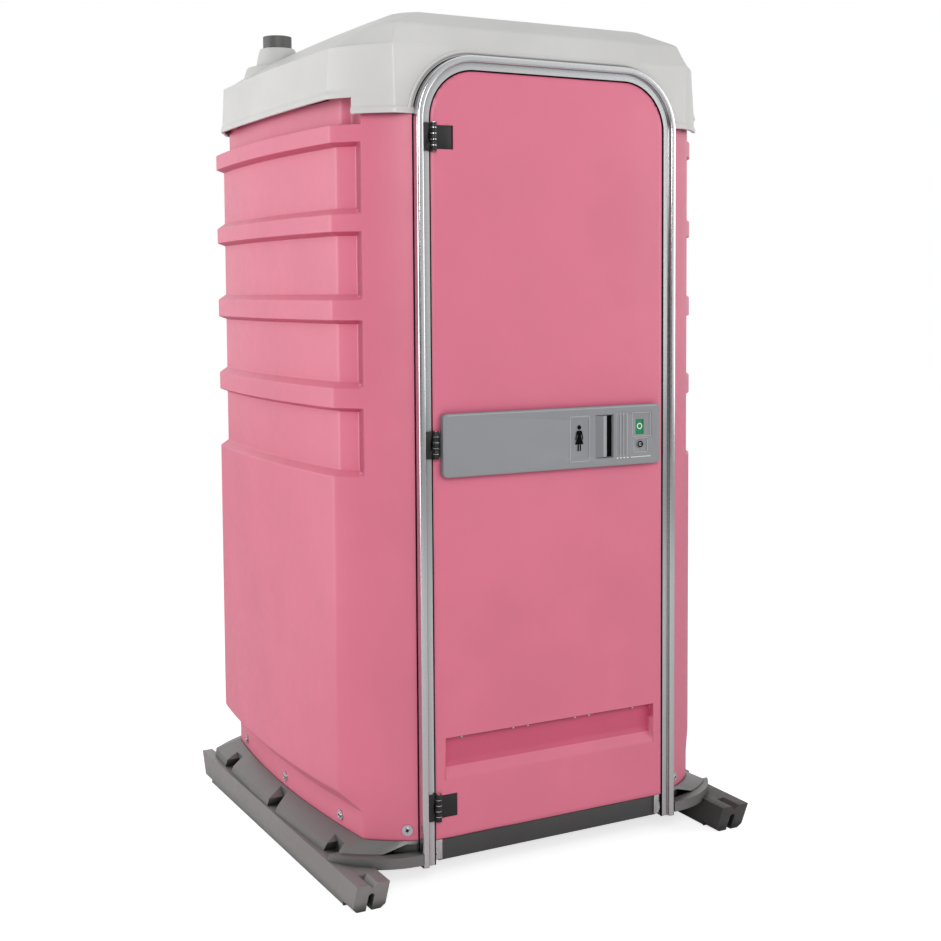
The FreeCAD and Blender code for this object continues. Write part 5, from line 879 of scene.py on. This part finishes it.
DOOR_LOW, DOOR_HIGH = node_box("door_outer_skin")
DOOR_FACE, DOOR_RADIUS = DOOR_LOW[1], 127.0
CROWN_HEIGHT, CROWN_REACH = 4.5, 115.0
EDGE_ROLL, ROLL_SHARE = 7.0, 0.35
BORDER_STEP, BORDER_WIDTH = 3.0, 16.0
BORDER_SPARE, FOOT_SPARE, FOOT_ZONE = 2, 18, 34
SHEET_SLACK, FACE_SLACK, FACE_DEPTH = 1.2, 0.3, 1.0
KICK_BACK, KICK_FOOT, KICK_HALF, KICK_DEPTH = 352.0, 278.0, 326.0, 21.0
KICK_SHEETS, KICK_BEND, KICK_MARGIN = (0.0, 4.0), 0.3, 4.5
# Heights of the painted shade in the kick recess
KICK_SHADE_LOW, KICK_SHADE_HIGH = KICK_FOOT + 34, KICK_BACK + 60
PLATE_TOP, PLATE_FOOT, PANEL_FOOT, PANEL_FADE = 1250, 1060, 400, 90
CUT_HALF, CUT_LOW, CUT_HIGH, HEAD_LOW, HEAD_HIGH = 352, 132, 1960, 1970, 2098
NEAR_EDGE, NEAR_BEND = (-6, -3, 3, 6), (-12, -6, 6, 12)


def inside_door(x, z):
    """Distance inwards from the door's arched outline."""
    beside, above = DOOR_HIGH[0] - abs(x), DOOR_HIGH[2] - z
    if beside < DOOR_RADIUS and above < DOOR_RADIUS:
        arched = DOOR_RADIUS - math.hypot(DOOR_RADIUS - beside, DOOR_RADIUS - above)
        return min(arched, z - DOOR_LOW[2])
    return min(beside, above, z - DOOR_LOW[2])


def eased_step(value):
    value = min(max(value, 0.0), 1.0)
    return value * value * (3 - 2 * value)


def door_levels():
    """Heights at which the door's mesh is cut, so that it can bend there."""
    bends = [CUT_LOW, PLATE_TOP, PLATE_FOOT, PANEL_FOOT]
    levels = list(spaced((CUT_LOW, CUT_HIGH), bends, 40, NEAR_BEND))
    levels += list(spaced((HEAD_LOW, HEAD_HIGH), [HEAD_HIGH], 12, NEAR_EDGE))
    return levels + list(np.linspace(KICK_FOOT + 3, KICK_BACK - 3, 12))


def kick_push(x, y, z):
    """How far a point of the kick recess moves in, so that its slope bends smoothly."""
    fall = (KICK_BACK - z) / (KICK_BACK - KICK_FOOT)
    straight = KICK_DEPTH * (1 - fall)
    on_sheet = any(abs(y - DOOR_FACE - straight - sheet) < SHEET_SLACK for sheet in KICK_SHEETS)
    in_kick = 0.0 < fall < 1.0 and abs(x) < KICK_HALF + KICK_MARGIN
    if in_kick and on_sheet and y > DOOR_FACE + FACE_SLACK:
        return KICK_DEPTH * (1 - eased_step((fall - KICK_BEND) / (1 - KICK_BEND))) - straight
    return 0.0


def crowned_y(x, y, z):
    """Where a point of the door's face goes, or nothing if it isn't on the face."""
    edge = inside_door(x, z)
    border = BORDER_WIDTH + (FOOT_SPARE if z < DOOR_LOW[2] + FOOT_ZONE else BORDER_SPARE)
    if y < DOOR_FACE + BORDER_STEP + FACE_SLACK and edge < border:
        y = DOOR_FACE + BORDER_STEP * (1 - min(edge, BORDER_WIDTH) / BORDER_WIDTH) ** 2
    elif y > DOOR_FACE + FACE_DEPTH:
        return None
    sunk = ROLL_SHARE * max(0.0, EDGE_ROLL - edge) ** 2 / EDGE_ROLL
    upper = eased_step((z - PLATE_TOP) / PANEL_FADE)
    lower = eased_step((PLATE_FOOT - z) / PANEL_FADE) * eased_step((z - PANEL_FOOT) / PANEL_FADE)
    return y + sunk - CROWN_HEIGHT * eased_step(edge / CROWN_REACH) * (upper + lower)


def crowned_door():
    mesh = NODES["door_outer_skin"].data.copy()
    mesh.name = "door_skin"
    with editing(mesh) as bm:
        merge(bm, 1e-5)
        places = spaced((-CUT_HALF, CUT_HALF), [-CUT_HALF, CUT_HALF], 16, NEAR_EDGE)
        cuts = [((x * MM, 0, 0), (1, 0, 0)) for x in places]
        cuts += [((0, 0, z * MM), (0, 0, 1)) for z in door_levels()]
        for spot, way in cuts:
            geometry = bm.verts[:] + bm.edges[:] + bm.faces[:]
            bmesh.ops.bisect_plane(bm, geom=geometry, dist=1e-6, plane_co=spot, plane_no=way)
        for vert in bm.verts:
            x, y, z = vert.co / MM
            vert.co.y += kick_push(x, y, z) * MM
            face_y = crowned_y(x, y, z)
            if face_y is not None:
                vert.co.y = face_y * MM
        merge(bm, 3e-5)
    return mesh


door_skin = hang("door_skin", crowned_door(), PINK, "door", "pink_shell", 30)
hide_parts("door_outer_skin")
# Painted shade: the kick recess's back faces take the darker pink.
door_skin.data.materials.append(SHADE_PINK)
for face in door_skin.data.polygons:
    spot = face.center / MM
    in_kick = abs(spot.x) < KICK_HALF + 6 and KICK_SHADE_LOW < spot.z < KICK_SHADE_HIGH
    if in_kick and DOOR_FACE + 2 < spot.y < DOOR_FACE + KICK_DEPTH + 2 and face.normal.y < -0.1:
        face.material_index = 1


def loose_parts(node):
    """Vertex places of each separate solid of a node, in millimetres and in the mesh's order."""
    bm = bmesh.new()
    bm.from_mesh(NODES[node].data)
    merge(bm, 1e-6)
    taken = set()
    for first in bm.verts:
        if first in taken:
            continue
        taken.add(first)
        stack, found = [first], []
        while stack:
            vert = stack.pop()
            found.append(np.array(vert.co) / MM)
            others = [edge.other_vert(vert) for edge in vert.link_edges]
            fresh = [other for other in others if other not in taken]
            taken.update(fresh)
            stack += fresh
        yield np.array(found)
    bm.free()


def band(inner, outer, low, high):
    """The closed section of a plain ring."""
    return [(inner, low), (inner, high), (outer, high), (outer, low), (inner, low)]


# Wall bolts: a ring and a dark socket on each head

BOLT_RING = [(4.6, 0.0), (5.4, 0.5), (6.4, 0.5), (7.0, 0.0), (7.0, -1.0), (4.6, -1.0), (4.6, 0.0)]
BOLT_SOCKET = [(0.0, 0.15), (4.2, 0.15), (4.6, 0.0), (4.6, -1.0), (0.0, -1.0)]
for i, cloud in enumerate(loose_parts("wall_bolts")):
    middle = cloud.mean(axis=0)
    way = np.linalg.svd(cloud - middle)[2][0]
    along = (cloud - middle) @ way
    wide = np.linalg.norm((cloud - middle) - along[:, None] * way, axis=1)
    if along[np.argmax(wide)] < 0:
        way, along = -way, -along
    head = cloud[along > along.max() - 0.05].mean(axis=0)
    lathe("bolt_ring_%02d" % i, head, BOLT_RING, STEEL, "cabin", "plated_steel", 24, axis=way)
    lathe("bolt_socket_%02d" % i, head, BOLT_SOCKET, BLACK, "cabin", "plated_steel", 6, axis=way)

# Bright steel rings where the hinge knuckles meet: painted glints at the gaps

KNUCKLE_GLINT_RING = band(8.0, 9.5, -0.8, 0.8)
for i, cloud in enumerate(loose_parts("hinge_pins")):
    low, high = cloud.min(axis=0), cloud.max(axis=0)
    middle = (low + high) / 2
    for k in range(1, 5):
        spot = (middle[0], middle[1], low[2] + (high[2] - low[2]) * k / 5)
        lathe("knuckle_ring_%d_%d" % (i, k), spot, KNUCKLE_GLINT_RING, STEEL, "cabin", "plated_steel", 24)

# Lock plate details: pictogram, panel frames, lines, dashes and rings

PLATE_FACE = node_box("lock_plate")[0][1]


def plaque(name, outline, thick, material, sunk=0):
    """A thin flat piece on the plate with a straight-sided outline of (x, z) points."""
    back = PLATE_FACE + sunk
    rings = [[(x * MM, y * MM, z * MM) for x, z in outline] for y in (back - thick, back)]
    finish_mesh(name, *loft(rings), material, "door", "lock_grey", 30)


def bar(name, x0, x1, z0, z1, thick, material, sunk=0):
    plaque(name, [(x0, z0), (x1, z0), (x1, z1), (x0, z1)], thick, material, sunk)


def panel_frame(name, x0, x1, z0, z1, width=1.6):
    """Four thin raised strips round a rectangle."""
    bar(name + "_0", x0, x1, z0, z0 + width, 0.7, EDGE_GREY)
    bar(name + "_1", x0, x1, z1 - width, z1, 0.7, EDGE_GREY)
    bar(name + "_2", x0, x0 + width, z0, z1, 0.7, EDGE_GREY)
    bar(name + "_3", x1 - width, x1, z0, z1, 0.7, EDGE_GREY)


FIGURE_X, HEAD_Z, HEAD_RADIUS, HEAD_POINTS, LEG_X, LEG_HALF = 70.5, 1181, 5.8, 28, 3.4, 1.7
around = [2 * math.pi * k / HEAD_POINTS for k in range(HEAD_POINTS)]
disc = [(FIGURE_X + HEAD_RADIUS * math.cos(t), HEAD_Z + HEAD_RADIUS * math.sin(t)) for t in around]
plaque("figure_head", disc, 0.5, PRINT_AND_SHADOW_BLACK)
dress = [(-5, 1172.5), (-8.5, 1170), (-12.5, 1149), (-10, 1148), (-6.2, 1164), (-5, 1158), (-13, 1136)]
dress += [(-x, z) for x, z in dress[::-1]]
plaque("figure_dress", [(FIGURE_X + x, z) for x, z in dress], 0.5, PRINT_AND_SHADOW_BLACK)
for side in (-1, 1):
    leg = FIGURE_X + side * LEG_X
    bar("figure_leg_%d" % (side + 1), leg - LEG_HALF, leg + LEG_HALF, 1118, 1136, 0.5, PRINT_AND_SHADOW_BLACK)
panel_frame("figure_frame", 41, 104, 1089, 1211)
panel_frame("flag_frame", 240, 301, 1147, 1213)
panel_frame("barrel_frame", 244, 291, 1104, 1143)
LINES = [190 + 11 * i for i in range(4)]
for i, x in enumerate(LINES):
    bar("grip_line_%d" % i, x, x + 1.6, 1098, 1214, 0.6, EDGE_GREY)
for i, x in enumerate(LINES):
    bar("dash_%d" % i, x, x + 5, 1090.5, 1093, 0.5, WHITE)
bar("dash_line", 236, 301, 1091, 1092.6, 0.5, WHITE)
bar("grip_shade", 121, 149, 1096, 1209, 1.0, GRIP_SHADE, 4)
# Painted shadow: the grip slot's back is black.
bar("grip_slot_shadow", 161, 179, 1097, 1208, 1.0, PRINT_AND_SHADOW_BLACK, 10)
# Painted highlight: the cheek is a lighter grey than the plate.
bar("grip_cheek_lit", 149, 161, 1097, 1208, 6.0, GRIP_LIT_GREY, 11)
# Painted highlight: a lighter line along the plate's rounded top edge.
bar("plate_edge_highlight", -322, 320, 1229.2, 1230.6, 0.4, EDGE_GREY)

RINGS_X, FACING = 267, (0, -1, 0)
barrel_ring, flag_ring = band(5.5, 9.0, 0.0, 0.4), band(5.8, 8.6, 0.0, 0.5)
barrel_spot = (RINGS_X, -568.6, 1126)
flag_spot = (RINGS_X, node_box("flag_green")[0][1] - 0.2, 1175)
lathe("barrel_ring", barrel_spot, barrel_ring, PRINT_AND_SHADOW_BLACK, "lock_spindle", "coin_barrel", 32, axis=FACING)
lathe("flag_ring", flag_spot, flag_ring, WHITE, "sliding_bolt", "flag_green", 32, axis=FACING)

# Paper rolls with a little play on their spindle, and the coin barrel with play in its bores

ROLL_BORE, TUBE_RADIUS, PAPER_BORE = 19.7, 21.5, 22.0
PAPER_BACK, RIM_BACK, PAPER_BEVEL = 0.8, 2.2, 1.5
spindle_low, spindle_high = node_box("paper_spindle")
roll_axis = int(np.argmax(spindle_high - spindle_low))
direction = [float(i == roll_axis) for i in range(3)]
for node, body in (("paper_roll_1", "front_roll"), ("paper_roll_2", "rear_roll")):
    low, high = node_box(node)
    half = (high - low)[roll_axis] / 2
    radius = (high - low)[(roll_axis + 1) % 3] / 2
    side, rim = half - PAPER_BACK, half - RIM_BACK
    ring = [(ROLL_BORE, 0.0), (ROLL_BORE, half), (TUBE_RADIUS, half), (PAPER_BORE, side)]
    ring += [(radius - PAPER_BEVEL, side), (radius, rim)]
    ring += [(r, -h) for r, h in ring[::-1]]
    roll = lathe(node + "_skin", (low + high) / 2, ring, PAPER, body, "paper_white", 64, axis=direction)
    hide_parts(node)

BARREL_PLAY = (0.98, 0.998, 0.98)
barrel_mesh = NODES["lock_barrel"].data.copy()
barrel_middle = sum(node_box("lock_barrel")) / 2 * MM
for vert in barrel_mesh.vertices:
    vert.co = barrel_middle + (np.array(vert.co) - barrel_middle) * BARREL_PLAY
barrel = hang("lock_barrel_skin", barrel_mesh, CHROME, "lock_spindle", "coin_barrel", 30)
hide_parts("lock_barrel")

# Floor, seen as plain white but still holding the shadow

FLOOR_HALF, FLOOR_GLOW, FLOOR_ROUGH, FLOOR_GREY = 14.0, 0.7, 0.9, (0.8, 0.8, 0.8, 1)
floor_mesh = bpy.data.meshes.new("floor")
corners = [(x * FLOOR_HALF, y * FLOOR_HALF, 0) for x, y in ((-1, -1), (1, -1), (1, 1), (-1, 1))]
floor_mesh.from_pydata(corners, [], [(0, 1, 2, 3)])
floor = new_object("floor", floor_mesh)
paint = Paint("floor")
paint.fill(paint.shader, {"Roughness": FLOOR_ROUGH, "Base Color": FLOOR_GREY})
plain = paint.shader.outputs[0]
glow = paint.node("Emission", {"Strength": FLOOR_GLOW}).outputs[0]
glowing = paint.node("AddShader", {0: plain, 1: glow}).outputs[0]
to_camera = paint.node("LightPath").outputs["Is Camera Ray"]
paint.fill(paint.out, {"Surface": paint.mixed(to_camera, plain, glowing)})
floor_mesh.materials.append(paint.material)
